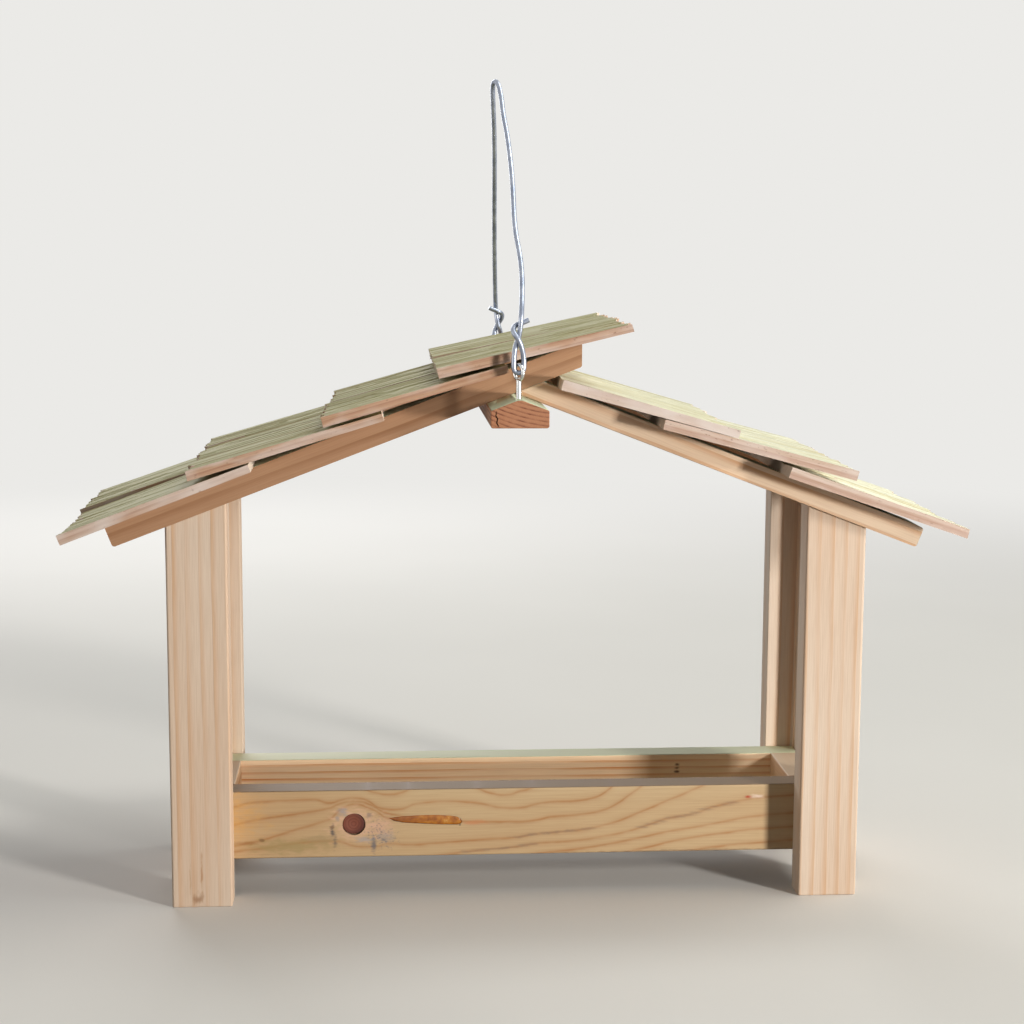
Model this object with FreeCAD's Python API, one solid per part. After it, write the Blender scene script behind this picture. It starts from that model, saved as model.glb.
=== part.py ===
import FreeCAD, Part
import math
import os

# A chalet-roofed hanging bird table in pine. Millimetres, +Z up, the front towards -Y.
# The origin is on the ground, under the middle of the object.

V = FreeCAD.Vector

# Corner posts: battens rabbeted to an L, so that each wraps a corner of the tray
POST_WIDTH = 38.0
POST_LEG = 19.0
POST_DEPTH = 32.0
POST_INNER_X = 182.0
ARRIS = 1.5

# Tray: four rails on edge round a floor board
BOARD = 19.0
TRAY_DEPTH = 95.0
RAIL_BOTTOM = 25.0
RAIL_HEIGHT = 44.5
RAIL_ARRIS = 1.0
FLOOR_THICKNESS = 9.0

# Roof frame: the undersides of the rafters meet in a line over the ridge beam
PITCH = math.radians(21.0)
RIDGE_X = -4.0
RIDGE_Z = 327.3
RAFTER_THICKNESS = 15.0
RIGHT_RAFTER_THICKNESS = 13.0
RAFTER_WIDTH = 38.0
RAFTER_FOOT_X = 251.5
RAFTER_TOP_X = 37.7
RAFTER_ROUND = 2.0
BEAM_WIDTH = 35.0
BEAM_BOTTOM = 310.0
BEAM_LENGTH = 236.0
BEAM_APEX_ROUND = 10.0

# Shingles: lower and upper end of each row, from the eave up
LEFT_ROWS = ((-279.7, -164.8), (-203.0, -84.5), (-121.5, -9.0), (-51.5, 67.0))
RIGHT_ROWS = ((276.8, 163.2), (206.0, 85.0), (132.0, 22.4))
# How far the foot of each row stands off what it was laid on, since the boards have warped
LEFT_LIFTS = (0.0, 1.0, 1.5, 1.5)
RIGHT_LIFTS = (4.9, 1.9, 0.0)
SHINGLE_REACH = 95.0
SHINGLE_JOINT = 0.8
SHINGLE_HEAD = 5.0
RIGHT_HEADS = (7.0, 6.4, 6.8)
SHINGLE_BUTT = 6.5
RIGHT_BUTTS = (6.0, 6.5, 5.2)
THICK_BUTT = 9.0
SLIPPED_UP = 4.0
FLUTES = 7
FLUTE_DEPTH = 0.9

# Screw eyes in the ridge beam, and the wire that hangs on them
EYE_Y = 104.0
EYE_RING = 4.5
EYE_WIRE = 2.2
EYE_SHANK = 3.4
EYE_CENTRE_Z = 342.4
EYE_TIP_Z = 313.5
EYE_TURN = 30.0
EYE_SLIT = 0.6
WIRE = 3.15
LOOP_RADIUS = 3.2
LOOP_DROP = 1.6
LOOP_LEAN = 0.15

# Fasteners: shank diameter, head diameter and head thickness
BRAD = (1.4, 2.4, 0.8)
BRAD_SUNK = 2.0
FINE_NAIL = (1.8, 4.0, 0.8)
NAIL = (2.5, 5.0, 1.0)
NAIL_POINT = 2.5

TRAY_HALF = TRAY_DEPTH / 2
TRAY_END_X = POST_INNER_X + BOARD
POST_OUTER_X = POST_INNER_X + POST_WIDTH
POST_FRONT = TRAY_HALF + POST_LEG
POST_BACK = POST_FRONT - POST_DEPTH
RAIL_TOP = RAIL_BOTTOM + RAIL_HEIGHT
RAFTER_MID = (POST_FRONT + POST_BACK) / 2
SLOPE = math.tan(PITCH)
RAFTER_RISE = RAFTER_THICKNESS / math.cos(PITCH)
RIGHT_RAFTER_RISE = RIGHT_RAFTER_THICKNESS / math.cos(PITCH)
PIVOT_Z = EYE_CENTRE_Z + EYE_RING


def rounded_face(corners, place):
    """Face inside a closed outline of (a, b, radius) corners, laid in space by place(a, b)."""
    edges = []
    ends = []
    for i, (a, b, radius) in enumerate(corners):
        here = V(a, b, 0)
        before = V(*corners[i - 1][:2], 0) - here
        after = V(*corners[(i + 1) % len(corners)][:2], 0) - here
        if radius == 0:
            ends.append((here, here, here))
            continue
        half = before.getAngle(after) / 2
        before.normalize()
        after.normalize()
        reach = radius / math.tan(half)
        inward = before + after
        inward.normalize()
        ends.append((here + before * reach,
                     here + inward * (radius / math.sin(half) - radius),
                     here + after * reach))
    for i, (start, middle, end) in enumerate(ends):
        last = ends[i - 1][2]
        edges.append(Part.LineSegment(place(last.x, last.y), place(start.x, start.y)).toShape())
        if start != end:
            points = [place(p.x, p.y) for p in (start, middle, end)]
            edges.append(Part.Arc(*points).toShape())
    return Part.Face(Part.Wire(edges))


def along_y(corners, y0, y1):
    """Prism with its outline in X and Z, from y0 to y1."""
    face = rounded_face(corners, lambda a, b: V(a, y0, b))
    return face.extrude(V(0, y1 - y0, 0))


def block(x0, x1, y0, y1, z0, z1):
    return Part.makeBox(x1 - x0, y1 - y0, z1 - z0, V(x0, y0, z0))


def nail(head, direction, length, sizes):
    """Nail driven flush: head is the middle of its flat top, direction points into the wood."""
    shank, head_width, head_thickness = sizes
    body = Part.makeCylinder(shank / 2, length - NAIL_POINT, head, direction)
    tip_base = head + direction * (length - NAIL_POINT)
    tip = Part.makeCone(shank / 2, shank / 8, NAIL_POINT, tip_base, direction)
    cap = Part.makeCylinder(head_width / 2, head_thickness, head, direction)
    return body.fuse([tip, cap]).removeSplitter()


def underside(x):
    """Height of the rafters' underside over x."""
    return RIDGE_Z - abs(x - RIDGE_X) * SLOPE


def left_top(x):
    """Height of the left rafters' top, which runs on past the ridge."""
    return RIDGE_Z + (x - RIDGE_X) * SLOPE + RAFTER_RISE


def right_top(x):
    return RIDGE_Z - (x - RIDGE_X) * SLOPE + RIGHT_RAFTER_RISE


def post(side, end):
    """L-section batten with its top cut to the slope. side is -1 left, end is -1 front."""
    outline = [(side * POST_INNER_X, end * POST_FRONT, ARRIS),
               (side * POST_OUTER_X, end * POST_FRONT, ARRIS),
               (side * POST_OUTER_X, end * POST_BACK, ARRIS),
               (side * TRAY_END_X, end * POST_BACK, 0),
               (side * TRAY_END_X, end * TRAY_HALF, 0),
               (side * POST_INNER_X, end * TRAY_HALF, 0)]
    bar = rounded_face(outline, lambda a, b: V(a, b, 0)).extrude(V(0, 0, RIDGE_Z))
    inner = side * (POST_INNER_X - BOARD)
    outer = side * (POST_OUTER_X + BOARD)
    under_roof = along_y([(inner, -BOARD, 0), (outer, -BOARD, 0),
                          (outer, underside(outer), 0), (inner, underside(inner), 0)],
                         -POST_FRONT - BOARD, POST_FRONT + BOARD)
    return bar.common(under_roof)


def long_rail(end):
    """Rail along the front or back, the full length of the tray."""
    outer, inner = end * TRAY_HALF, end * (TRAY_HALF - BOARD)
    section = [(outer, RAIL_BOTTOM, RAIL_ARRIS), (outer, RAIL_TOP, RAIL_ARRIS),
               (inner, RAIL_TOP, RAIL_ARRIS), (inner, RAIL_BOTTOM, 0)]
    face = rounded_face(section, lambda a, b: V(-TRAY_END_X, a, b))
    return face.extrude(V(2 * TRAY_END_X, 0, 0))


def end_rail(side):
    """Short rail between the long ones."""
    reach = TRAY_HALF - BOARD
    outer, inner = side * TRAY_END_X, side * POST_INNER_X
    return along_y([(outer, RAIL_BOTTOM, RAIL_ARRIS), (outer, RAIL_TOP, RAIL_ARRIS),
                    (inner, RAIL_TOP, RAIL_ARRIS), (inner, RAIL_BOTTOM, 0)], -reach, reach)


def tray_floor():
    reach = TRAY_HALF - BOARD
    return block(-POST_INNER_X, POST_INNER_X, -reach, reach, RAIL_BOTTOM, RAIL_BOTTOM + FLOOR_THICKNESS)


def ridge_beam():
    half = BEAM_WIDTH / 2
    shoulder = RIDGE_Z - half * SLOPE
    return along_y([(RIDGE_X - half, BEAM_BOTTOM, ARRIS), (RIDGE_X + half, BEAM_BOTTOM, ARRIS),
                    (RIDGE_X + half, shoulder, ARRIS), (RIDGE_X, RIDGE_Z, BEAM_APEX_ROUND),
                    (RIDGE_X - half, shoulder, ARRIS)], -BEAM_LENGTH / 2, BEAM_LENGTH / 2)


def rafter(side, end):
    """The left rafter runs on past the ridge to a plumb cut; the right one butts up under it."""
    foot = side * RAFTER_FOOT_X
    foot_z = underside(foot)
    thickness = RAFTER_THICKNESS if side < 0 else RIGHT_RAFTER_THICKNESS
    out = side * thickness * math.sin(PITCH)
    up = thickness * math.cos(PITCH)
    lower_end = [(foot, foot_z, RAFTER_ROUND), (foot + out, foot_z + up, RAFTER_ROUND)]
    if side < 0:
        top = [(RAFTER_TOP_X, left_top(RAFTER_TOP_X), RAFTER_ROUND),
               (RAFTER_TOP_X, left_top(RAFTER_TOP_X) - RAFTER_RISE, RAFTER_ROUND)]
    else:
        butt_x = RIDGE_X + RIGHT_RAFTER_RISE / (2 * SLOPE)
        top = [(butt_x, right_top(butt_x), 0), (RIDGE_X, RIDGE_Z, 0)]
    y = end * RAFTER_MID
    return along_y(lower_end + top, y - RAFTER_WIDTH / 2, y + RAFTER_WIDTH / 2)


class Seat:
    """Where one shingle lies: underside from foot to head in X and Z, its thickness there, the way up."""

    def __init__(self, foot, head, butt, tip):
        self.foot = foot
        self.head = head
        self.butt = butt
        self.tip = tip
        self.uphill = (head - foot).normalize()
        self.normal = V(-self.uphill.z, 0, self.uphill.x)
        if self.normal.z < 0:
            self.normal = self.normal * -1
        self.length = (head - foot).Length

    def top(self, along):
        """Point of the top, over the underside at this distance from the foot."""
        share = along / self.length
        thickness = self.butt + (self.tip - self.butt) * share
        return self.foot + self.uphill * along + self.normal * thickness

    def top_over(self, x):
        """Point of the top at this x."""
        low, high = self.top(0), self.top(self.length)
        return low + (high - low) * ((x - low.x) / (high.x - low.x))


def seats(rows, rafter_top, butts, tips, slips, lifts, crest=None):
    """Lays a column of shingles from the eave up.

    The first lies on the rafter. Each other one has its head on the rafter, or lies over the crest
    at the rafter's end, and comes down on the one below: on its top or on the edge of its head.
    A lift raises the foot off that."""
    column = []
    for i, (low_x, high_x) in enumerate(rows):
        uphill = 1 if high_x > low_x else -1
        low_x += uphill * slips[i]
        high_x += uphill * slips[i]
        head = V(high_x, 0, rafter_top(high_x))
        foot = V(low_x, 0, rafter_top(low_x) + lifts[i])
        if column:
            below = column[-1]
            hold = crest if crest and i == len(rows) - 1 else head
            rests = [below.top(below.length), below.top_over(low_x)]
            rest = min(rests, key=lambda p: (hold.z - p.z) / abs(hold.x - p.x)) + V(0, 0, lifts[i])
            fall = (hold - rest) * (1 / (hold.x - rest.x))
            foot = hold + fall * (low_x - hold.x)
            head = hold + fall * (high_x - hold.x)
        column.append(Seat(foot, head, butts[i], tips[i]))
    return column


def shingle(seat, y0, y1, seed):
    """Riven board: flat below, tapered, with uneven flutes down its top."""
    ends = []
    for base, thickness in ((seat.foot, seat.butt), (seat.head, seat.tip)):
        points = [base + V(0, y0, 0)]
        for k in range(2 * FLUTES + 1):
            spread = k + 0.5 * math.sin(2.4 * k + seed) * (0 < k < 2 * FLUTES)
            dip = FLUTE_DEPTH * (k % 2) * (0.65 + 0.35 * math.sin(1.7 * k + seed))
            y = y0 + (y1 - y0) * spread / (2 * FLUTES)
            points.append(base + V(0, y, 0) + seat.normal * (thickness - dip))
        points.append(base + V(0, y1, 0))
        ends.append(Part.makePolygon(points + points[:1]))
    return Part.makeLoft(ends, True, True)


def screw_eye(end):
    """Ring on a pointed shank, slit where the ring's bent end meets the neck."""
    centre = V(RIDGE_X, end * EYE_Y, EYE_CENTRE_Z)
    ring = Part.makeTorus(EYE_RING, EYE_WIRE / 2, centre, V(1, 0, 0))
    slit_y = EYE_SHANK / 2 + EYE_SLIT / 3
    slit = Part.makeBox(EYE_WIRE * 2, EYE_SLIT, EYE_WIRE * 2,
                        centre + V(-EYE_WIRE, slit_y, -EYE_RING - EYE_WIRE))
    neck_z = EYE_CENTRE_Z - EYE_RING
    shank = Part.makeCylinder(EYE_SHANK / 2, neck_z - EYE_TIP_Z - EYE_SHANK,
                              V(RIDGE_X, end * EYE_Y, EYE_TIP_Z + EYE_SHANK))
    tip = Part.makeCone(EYE_SHANK / 8, EYE_SHANK / 2, EYE_SHANK, V(RIDGE_X, end * EYE_Y, EYE_TIP_Z))
    eye = ring.cut(slit).fuse([shank, tip]).removeSplitter()
    eye.rotate(centre, V(0, 0, 1), EYE_TURN)
    return eye


def bent_path(points):
    """Straight runs joined by tangent arcs, each as wide as its two runs allow."""
    edges = []
    radii = []
    last = points[0]
    for before, here, after in zip(points, points[1:], points[2:]):
        back, on = before - here, after - here
        half = back.getAngle(on) / 2
        reach = 0.45 * min(back.Length, on.Length)
        back.normalize()
        on.normalize()
        radius = reach * math.tan(half)
        inward = back + on
        inward.normalize()
        start, end = here + back * reach, here + on * reach
        middle = here + inward * (radius / math.sin(half) - radius)
        edges.append(Part.LineSegment(last, start).toShape())
        edges.append(Part.Arc(start, middle, end).toShape())
        radii.append(radius)
        last = end
    edges.append(Part.LineSegment(last, points[-1]).toShape())
    return Part.Wire(edges), radii


# The hanger's front end, from the top of the eye's ring. The tail passes behind the strand, comes round
# its left side and crosses in front of it to the right leg of the loop. The left leg goes up as the strand.
TAIL_AND_RIGHT_LEG = ((6.2, 4.1, 26.6), (1.6, 4.0, 24.6), (-2.0, 3.2, 23.4), (-3.6, 1.0, 21.2),
                      (-2.8, -1.2, 18.2), (-0.3, -1.8, 15.0), (1.7, -1.2, 10.5), (2.9, 0.4, 5.0))
LEFT_LEG_AND_STRAND = ((-2.9, -0.4, 5.0), (-2.1, 1.2, 10.5), (-0.2, 1.8, 15.2), (0.9, 0.5, 22.0),
                       (1.5, 0.0, 30.4))
# Its two strands, up from the front end and down to the back one, as bent by hand
FRONT_STRAND = ((-1.0, -90.0, 394.0), (-1.2, -79.0, 409.0), (-4.3, -65.0, 428.5), (-4.0, -46.0, 455.5),
                (-5.6, -27.5, 482.0), (-8.2, -14.5, 499.5), (-8.9, -7.5, 510.5))
TOP_BEND = ((-10.8, -2.2, 520.8), (-13.9, 3.4, 520.8))
BACK_STRAND = ((-13.2, 9.5, 509.0), (-11.0, 26.0, 484.0), (-8.6, 68.0, 424.5))


def loop():
    """Round bottom of the hanger's front end, through the eye from right to left."""
    corner = LOOP_RADIUS / math.cos(math.radians(22.5))
    points = []
    for k in range(4):
        angle = math.radians(-22.5 - 45 * k)
        across = corner * math.cos(angle)
        points.append((across, LOOP_LEAN * across, corner * math.sin(angle) - LOOP_DROP))
    return tuple(points)


def hanger_wire():
    front_end = TAIL_AND_RIGHT_LEG + loop() + LEFT_LEG_AND_STRAND
    front = [V(RIDGE_X, -EYE_Y, PIVOT_Z) + V(*p) for p in front_end]
    back = [V(2 * RIDGE_X - p.x, -p.y, p.z) for p in reversed(front)]
    strands = [V(*p) for p in FRONT_STRAND + TOP_BEND + BACK_STRAND]
    path, radii = bent_path(front + strands + back)
    start = path.Edges[0]
    section = Part.Wire(Part.makeCircle(WIRE / 2, start.valueAt(start.FirstParameter),
                                        start.tangentAt(start.FirstParameter)))
    solid = path.makePipeShell([section], True, False)
    samples = path.discretize(Distance=WIRE / 4)
    skip = 16
    gap = min((a - b).Length for i, a in enumerate(samples) for b in samples[i + skip:]) - WIRE
    expected = math.pi * WIRE ** 2 / 4 * path.Length
    print("hanger: smallest bend %.2f, gap to itself %.2f, volume %.0f of %.0f"
          % (min(radii), gap, solid.Volume, expected))
    return solid


def shingle_brads(seat, end, share):
    """Two brads through a shingle into its rafter, at this share of its length, each sunk in a hole."""
    top = seat.top(seat.length * share)
    into = seat.normal * -1
    spread = RAFTER_WIDTH * 0.3
    length = 16.0
    brads = []
    holes = []
    for dy in (-spread, spread):
        start = top + V(0, end * RAFTER_MID + dy, 0)
        brads.append(nail(start + into * BRAD_SUNK, into, length, BRAD))
        holes.append(Part.makeCylinder(BRAD[1] / 2, 2 * BRAD_SUNK, start - into * BRAD_SUNK, into))
    return brads, holes


def frame_nails(side, end):
    """Nails down through a rafter into its post, and in through the post into the long rail."""
    into = V(-side * math.sin(PITCH), 0, -math.cos(PITCH))
    top = left_top if side < 0 else right_top
    posts = []
    for inset in (8.0, 20.0):
        x = side * (POST_OUTER_X - inset)
        posts.append(nail(V(x, end * (POST_FRONT - POST_LEG / 2), top(x)), into, 45.0, NAIL))
    rails = [nail(V(side * POST_OUTER_X, end * (POST_BACK + TRAY_HALF) / 2, RAIL_BOTTOM + z),
                  V(-side, 0, 0), 45.0, NAIL) for z in (17.0, 27.5)]
    return posts, rails


def corner_nails(side, end):
    """Nails through a long rail into the end rail; the post covers their heads."""
    x = side * (POST_INNER_X + TRAY_END_X) / 2
    return [nail(V(x, end * TRAY_HALF, RAIL_BOTTOM + z), V(0, -end, 0), 45.0, NAIL) for z in (9.0, 35.5)]


def floor_nails():
    """Nails into the floor's edges, through the end rails and the back rail."""
    z = RAIL_BOTTOM + FLOOR_THICKNESS / 2
    found = [nail(V(side * TRAY_END_X, y, z), V(-side, 0, 0), 35.0, FINE_NAIL)
             for side in (-1, 1) for y in (-14.0, 14.0)]
    found += [nail(V(x, TRAY_HALF, z), V(0, -1, 0), 35.0, FINE_NAIL) for x in (-120.0, 0.0, 120.0)]
    return found


def ridge_nails(end):
    """One nail through the left rafter into the beam, one through both rafters into it."""
    y = end * RAFTER_MID
    left_x, both_x = RIDGE_X - 8.0, RIDGE_X + 11.0
    return [nail(V(left_x, y - 8.0, left_top(left_x) - NAIL[2]), V(0, 0, -1), 26.0, NAIL),
            nail(V(both_x, y + 8.0, left_top(both_x) - NAIL[2]), V(0, 0, -1), 34.0, NAIL)]


SIDES = {"left": -1, "right": 1}
ENDS = {"front": -1, "back": 1}

wood = {}
metal = {}

for end_name, end in ENDS.items():
    for side_name, side in SIDES.items():
        wood[f"{end_name}_{side_name}_post"] = post(side, end)
        wood[f"{end_name}_{side_name}_rafter"] = rafter(side, end)
    wood[f"{end_name}_rail"] = long_rail(end)
    metal[f"{end_name}_screw_eye"] = screw_eye(end)
for side_name, side in SIDES.items():
    wood[f"{side_name}_end_rail"] = end_rail(side)
wood["tray_floor"] = tray_floor()
wood["ridge_beam"] = ridge_beam()

# Shingles, row by row from the eave, in a front and a back column
roof_brads = []
brad_holes = []
crest = V(RAFTER_TOP_X, 0, left_top(RAFTER_TOP_X))
for end_name, end in ENDS.items():
    slips, butts = [0.0] * 4, [SHINGLE_BUTT] * 4
    if end > 0:
        butts[0] = THICK_BUTT
        slips[0] = (THICK_BUTT - SHINGLE_BUTT) * math.sin(PITCH)
        slips[2] = SLIPPED_UP
    columns = {"left": seats(LEFT_ROWS, left_top, butts, [SHINGLE_HEAD] * 4, slips, LEFT_LIFTS, crest),
               "right": seats(RIGHT_ROWS, right_top, RIGHT_BUTTS, RIGHT_HEADS, [0.0] * 3, RIGHT_LIFTS)}
    y0, y1 = sorted((end * SHINGLE_REACH, end * SHINGLE_JOINT / 2))
    for side_name, column in columns.items():
        for row, seat in enumerate(column, start=1):
            seed = 1.3 * row + end + len(column)
            wood[f"{side_name}_shingle_{row}_{end_name}"] = shingle(seat, y0, y1, seed)
            crosses_ridge = side_name == "left" and row == len(column)
            brads, holes = shingle_brads(seat, end, 0.62 if crosses_ridge else 0.82)
            roof_brads += brads
            brad_holes += holes

post_nails, rail_nails, tray_nails = [], [], []
for side in SIDES.values():
    for end in ENDS.values():
        down, across = frame_nails(side, end)
        post_nails += down
        rail_nails += across
        tray_nails += corner_nails(side, end)

groups = {"shingle_nails": roof_brads, "rafter_nails": post_nails, "post_nails": rail_nails,
          "tray_corner_nails": tray_nails, "floor_nails": floor_nails(),
          "ridge_nails": [n for end in ENDS.values() for n in ridge_nails(end)]}
for name, solids in groups.items():
    metal[name] = Part.makeCompound(solids)

# Every fastener has its own hole: it is cut out of each piece of wood that it passes through
drivers = [n for solids in groups.values() for n in solids] + brad_holes
drivers += [metal[f"{end_name}_screw_eye"] for end_name in ENDS]
for name, shape in wood.items():
    through = [n for n in drivers if n.BoundBox.intersect(shape.BoundBox)]
    if through:
        wood[name] = shape.cut(through).removeSplitter()

metal["hanger_wire"] = hanger_wire()

os.makedirs("parts", exist_ok=True)
for name, shape in {**wood, **metal}.items():
    shape.exportStep(f"parts/{name}.step")
    box = shape.BoundBox
    print("%-24s solids %2d volume %9.0f valid %s  x %.1f %.1f  y %.1f %.1f  z %.1f %.1f"
          % (name, len(shape.Solids), shape.Volume, shape.isValid(),
             box.XMin, box.XMax, box.YMin, box.YMax, box.ZMin, box.ZMax))
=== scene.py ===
# %% [markdown]
# # Dressing a chalet bird table
#
# The real thing is an open feeding tray between four pine posts, under a roof of riven shingles that
# hangs from one bent wire. The CAD frame already puts every board and nail in its place, so this
# script adds what a solid can't show: grain, eased edges, torn fibres, a knot, a pocket of resin and
# the finish of the metal.

import math

import bmesh
import bpy
import numpy as np
from mathutils import Matrix, Vector


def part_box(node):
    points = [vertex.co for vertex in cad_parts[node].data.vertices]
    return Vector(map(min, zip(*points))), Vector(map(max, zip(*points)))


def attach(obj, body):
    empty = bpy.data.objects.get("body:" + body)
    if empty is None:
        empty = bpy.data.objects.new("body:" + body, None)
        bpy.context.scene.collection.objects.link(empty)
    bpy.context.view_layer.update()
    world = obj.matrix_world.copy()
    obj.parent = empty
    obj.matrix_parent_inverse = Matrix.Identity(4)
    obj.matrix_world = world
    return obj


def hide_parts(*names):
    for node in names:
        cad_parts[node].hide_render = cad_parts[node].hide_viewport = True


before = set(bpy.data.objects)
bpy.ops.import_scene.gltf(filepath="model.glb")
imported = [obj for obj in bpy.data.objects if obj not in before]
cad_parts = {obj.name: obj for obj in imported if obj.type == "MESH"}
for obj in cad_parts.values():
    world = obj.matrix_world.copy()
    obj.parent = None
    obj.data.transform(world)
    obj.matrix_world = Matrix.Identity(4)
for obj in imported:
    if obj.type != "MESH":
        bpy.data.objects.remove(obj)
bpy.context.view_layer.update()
scene = bpy.context.scene
scene.view_settings.view_transform = "Standard"
MM = 0.001

# %% [markdown]
# ## The camera
#
# The photograph was taken with a fairly long lens from a little above the tray and a little to its
# left. A camera can be turned by eye until edges line up. Here a pinhole camera was fitted to the
# corners of the posts, rails and shingles instead, so the numbers below are its place, its three
# turns and its focal length in pixels of a 1024 pixel frame.

# %% Place the camera
CAMERA_AT = Vector((-88.74, -1256.24, 422.21)) * MM
LOOKS_RIGHT, LOOKS_DOWN, LEANS = 4.024, 8.092, 0.266
FOCAL_PIXELS, FRAME_PIXELS = 1930.0, 1024.0
SENSOR = 36.0

lens = bpy.data.cameras.new("photo_lens")
lens.sensor_width = SENSOR
lens.lens = SENSOR * FOCAL_PIXELS / FRAME_PIXELS
lens.clip_start = 0.05
camera = bpy.data.objects.new("photo_camera", lens)
camera.matrix_world = (Matrix.Translation(CAMERA_AT)
                       @ Matrix.Rotation(math.radians(-LOOKS_RIGHT), 4, "Z")
                       @ Matrix.Rotation(math.radians(90 - LOOKS_DOWN), 4, "X")
                       @ Matrix.Rotation(math.radians(LEANS), 4, "Z"))
scene.collection.objects.link(camera)
scene.camera = camera
print("lens: %.1f mm" % lens.lens)

# %% [markdown]
# ## Nodes and colours
#
# Every material and every Geometry Nodes tree below is a graph, and a graph is only nodes, settings
# and links. One small function adds a node and connects it, so the code reads in the order in which
# the values flow. Colours are written as the sRGB hex values that a paint chart or a photograph
# shows, and are turned to the linear light that the renderer adds up. A Mix node has inputs for
# every kind of value under the same names, so the three that mix colours are known by number.

# %% Helpers for node graphs
FACTOR, UNDER, OVER = 0, 6, 7
COLOURS = {"data_type": "RGBA"}
TINTED = {"data_type": "RGBA", "blend_type": "MULTIPLY"}


def linear(hex_colour):
    """sRGB hex to linear red, green, blue and alpha."""
    parts = [int(hex_colour[i:i + 2], 16) / 255 for i in (0, 2, 4)]
    return tuple(p / 12.92 if p <= 0.04045 else ((p + 0.055) / 1.055) ** 2.4 for p in parts) + (1.0,)


def add(tree, kind, feeds=None, stops=None, **settings):
    """Adds a node. feeds holds a value, a socket or a node for each input, stops a colour ramp."""
    node = tree.nodes.new(kind)
    for key, value in settings.items():
        setattr(node, key, value)
    for key, value in (feeds or {}).items():
        for one in value if isinstance(value, list) else [value]:
            if isinstance(one, bpy.types.Node):
                one = next(socket for socket in one.outputs if socket.enabled)
            if isinstance(one, bpy.types.NodeSocket):
                tree.links.new(one, node.inputs[key])
            else:
                node.inputs[key].default_value = one
    if stops:
        elements = node.color_ramp.elements
        elements.remove(elements[1])
        elements[0].position, elements[0].color = stops[0][0], linear(stops[0][1])
        for place, colour in stops[1:]:
            elements.new(place).color = linear(colour)
    return node


def new_material(name):
    """An empty material and its graph."""
    material = bpy.data.materials.new(name)
    material.use_nodes = True
    material.node_tree.nodes.clear()
    return material, material.node_tree


print("white in linear light:", linear("FFFFFF"))

# %% [markdown]
# ## Floor and light
#
# A plain pale floor and soft lamps show the wood without adding a story. The background could be a
# wall, but a wall would stand in the way of views from behind, so the floor runs far out and fades
# into a world of the same pale grey. In the photograph a narrow light comes from the front right.
# Here two lamps share its work: the low one reaches in under the eaves, and the high one looks down
# into the tray. A wide lamp fills the left, one over the roof keeps the shingles bright, and one
# behind lights the back of the boards.

# %% Lay the floor
FLOOR_SIZE = 30.0
BACKDROP = "EBEAE7"
FADE_FROM, FADE_TO = 0.75, 2.2


def plainly_seen(tree):
    """One for what is seen directly or mirrored, zero for light that scatters on from it."""
    rays = add(tree, "ShaderNodeLightPath").outputs
    return add(tree, "ShaderNodeMath", {0: rays["Is Camera Ray"], 1: rays["Is Glossy Ray"]},
               operation="MAXIMUM")


floor_mesh = bpy.data.meshes.new("studio_floor")
sheet = bmesh.new()
bmesh.ops.create_grid(sheet, x_segments=1, y_segments=1, size=FLOOR_SIZE)
sheet.to_mesh(floor_mesh)
sheet.free()
paint, tree = new_material("matt studio paint")
ground = add(tree, "ShaderNodeTexCoord").outputs["Object"]
speckle = add(tree, "ShaderNodeTexNoise", {"Vector": ground, "Scale": 3.0, "Detail": 2.0})
tint = add(tree, "ShaderNodeValToRGB", {"Fac": speckle}, stops=[(0.3, "DEDCD8"), (0.7, "E1DFDB")])
seen = plainly_seen(tree)
# Pale to the eye, but it throws little light back up at the object
shown = add(tree, "ShaderNodeMix", {FACTOR: seen, UNDER: linear("6E6C6A"), OVER: tint}, **COLOURS)
matt = add(tree, "ShaderNodeBsdfPrincipled", {"Base Color": shown, "Roughness": 0.9})
away = add(tree, "ShaderNodeVectorMath", {0: ground}, operation="LENGTH")
fade = add(tree, "ShaderNodeMapRange", {"Value": away, "From Min": FADE_FROM, "From Max": FADE_TO},
           interpolation_type="SMOOTHSTEP")
far_off = add(tree, "ShaderNodeMath", {0: fade, 1: seen}, operation="MULTIPLY")
glow = add(tree, "ShaderNodeEmission", {"Color": linear(BACKDROP), "Strength": 1.0})
ground_mix = add(tree, "ShaderNodeMixShader", {0: far_off, 1: matt, 2: glow})
add(tree, "ShaderNodeOutputMaterial", {"Surface": ground_mix})
floor_mesh.materials.append(paint)
floor = bpy.data.objects.new("studio_floor", floor_mesh)
scene.collection.objects.link(floor)
print("floor fades out from %.2f to %.2f m" % (FADE_FROM, FADE_TO))

# %% Light the stage
SKY_LIGHT = 0.12
# Each lamp's place, width and height in metres, its power in watts and its colour
LAMPS = {"low_key_lamp": ((1.97, -1.87, 0.14), (0.28, 0.24), 54.0, "FFFBF5"),
         "high_key_lamp": ((1.97, -1.87, 1.0), (0.3, 0.4), 40.0, "FFFBF5"),
         "fill_lamp": ((-2.4, -0.6, 0.6), (1.2, 1.0), 10.0, "FFF6EC"),
         "roof_lamp": ((1.1, 0.0, 2.1), (1.2, 1.2), 22.0, "FDFFF8"),
         "back_lamp": ((-0.5, 2.1, 1.0), (1.4, 1.4), 25.0, "FFFFFF")}
LAMPS_AIM_AT = Vector((0.0, 0.0, 0.2))

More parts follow.
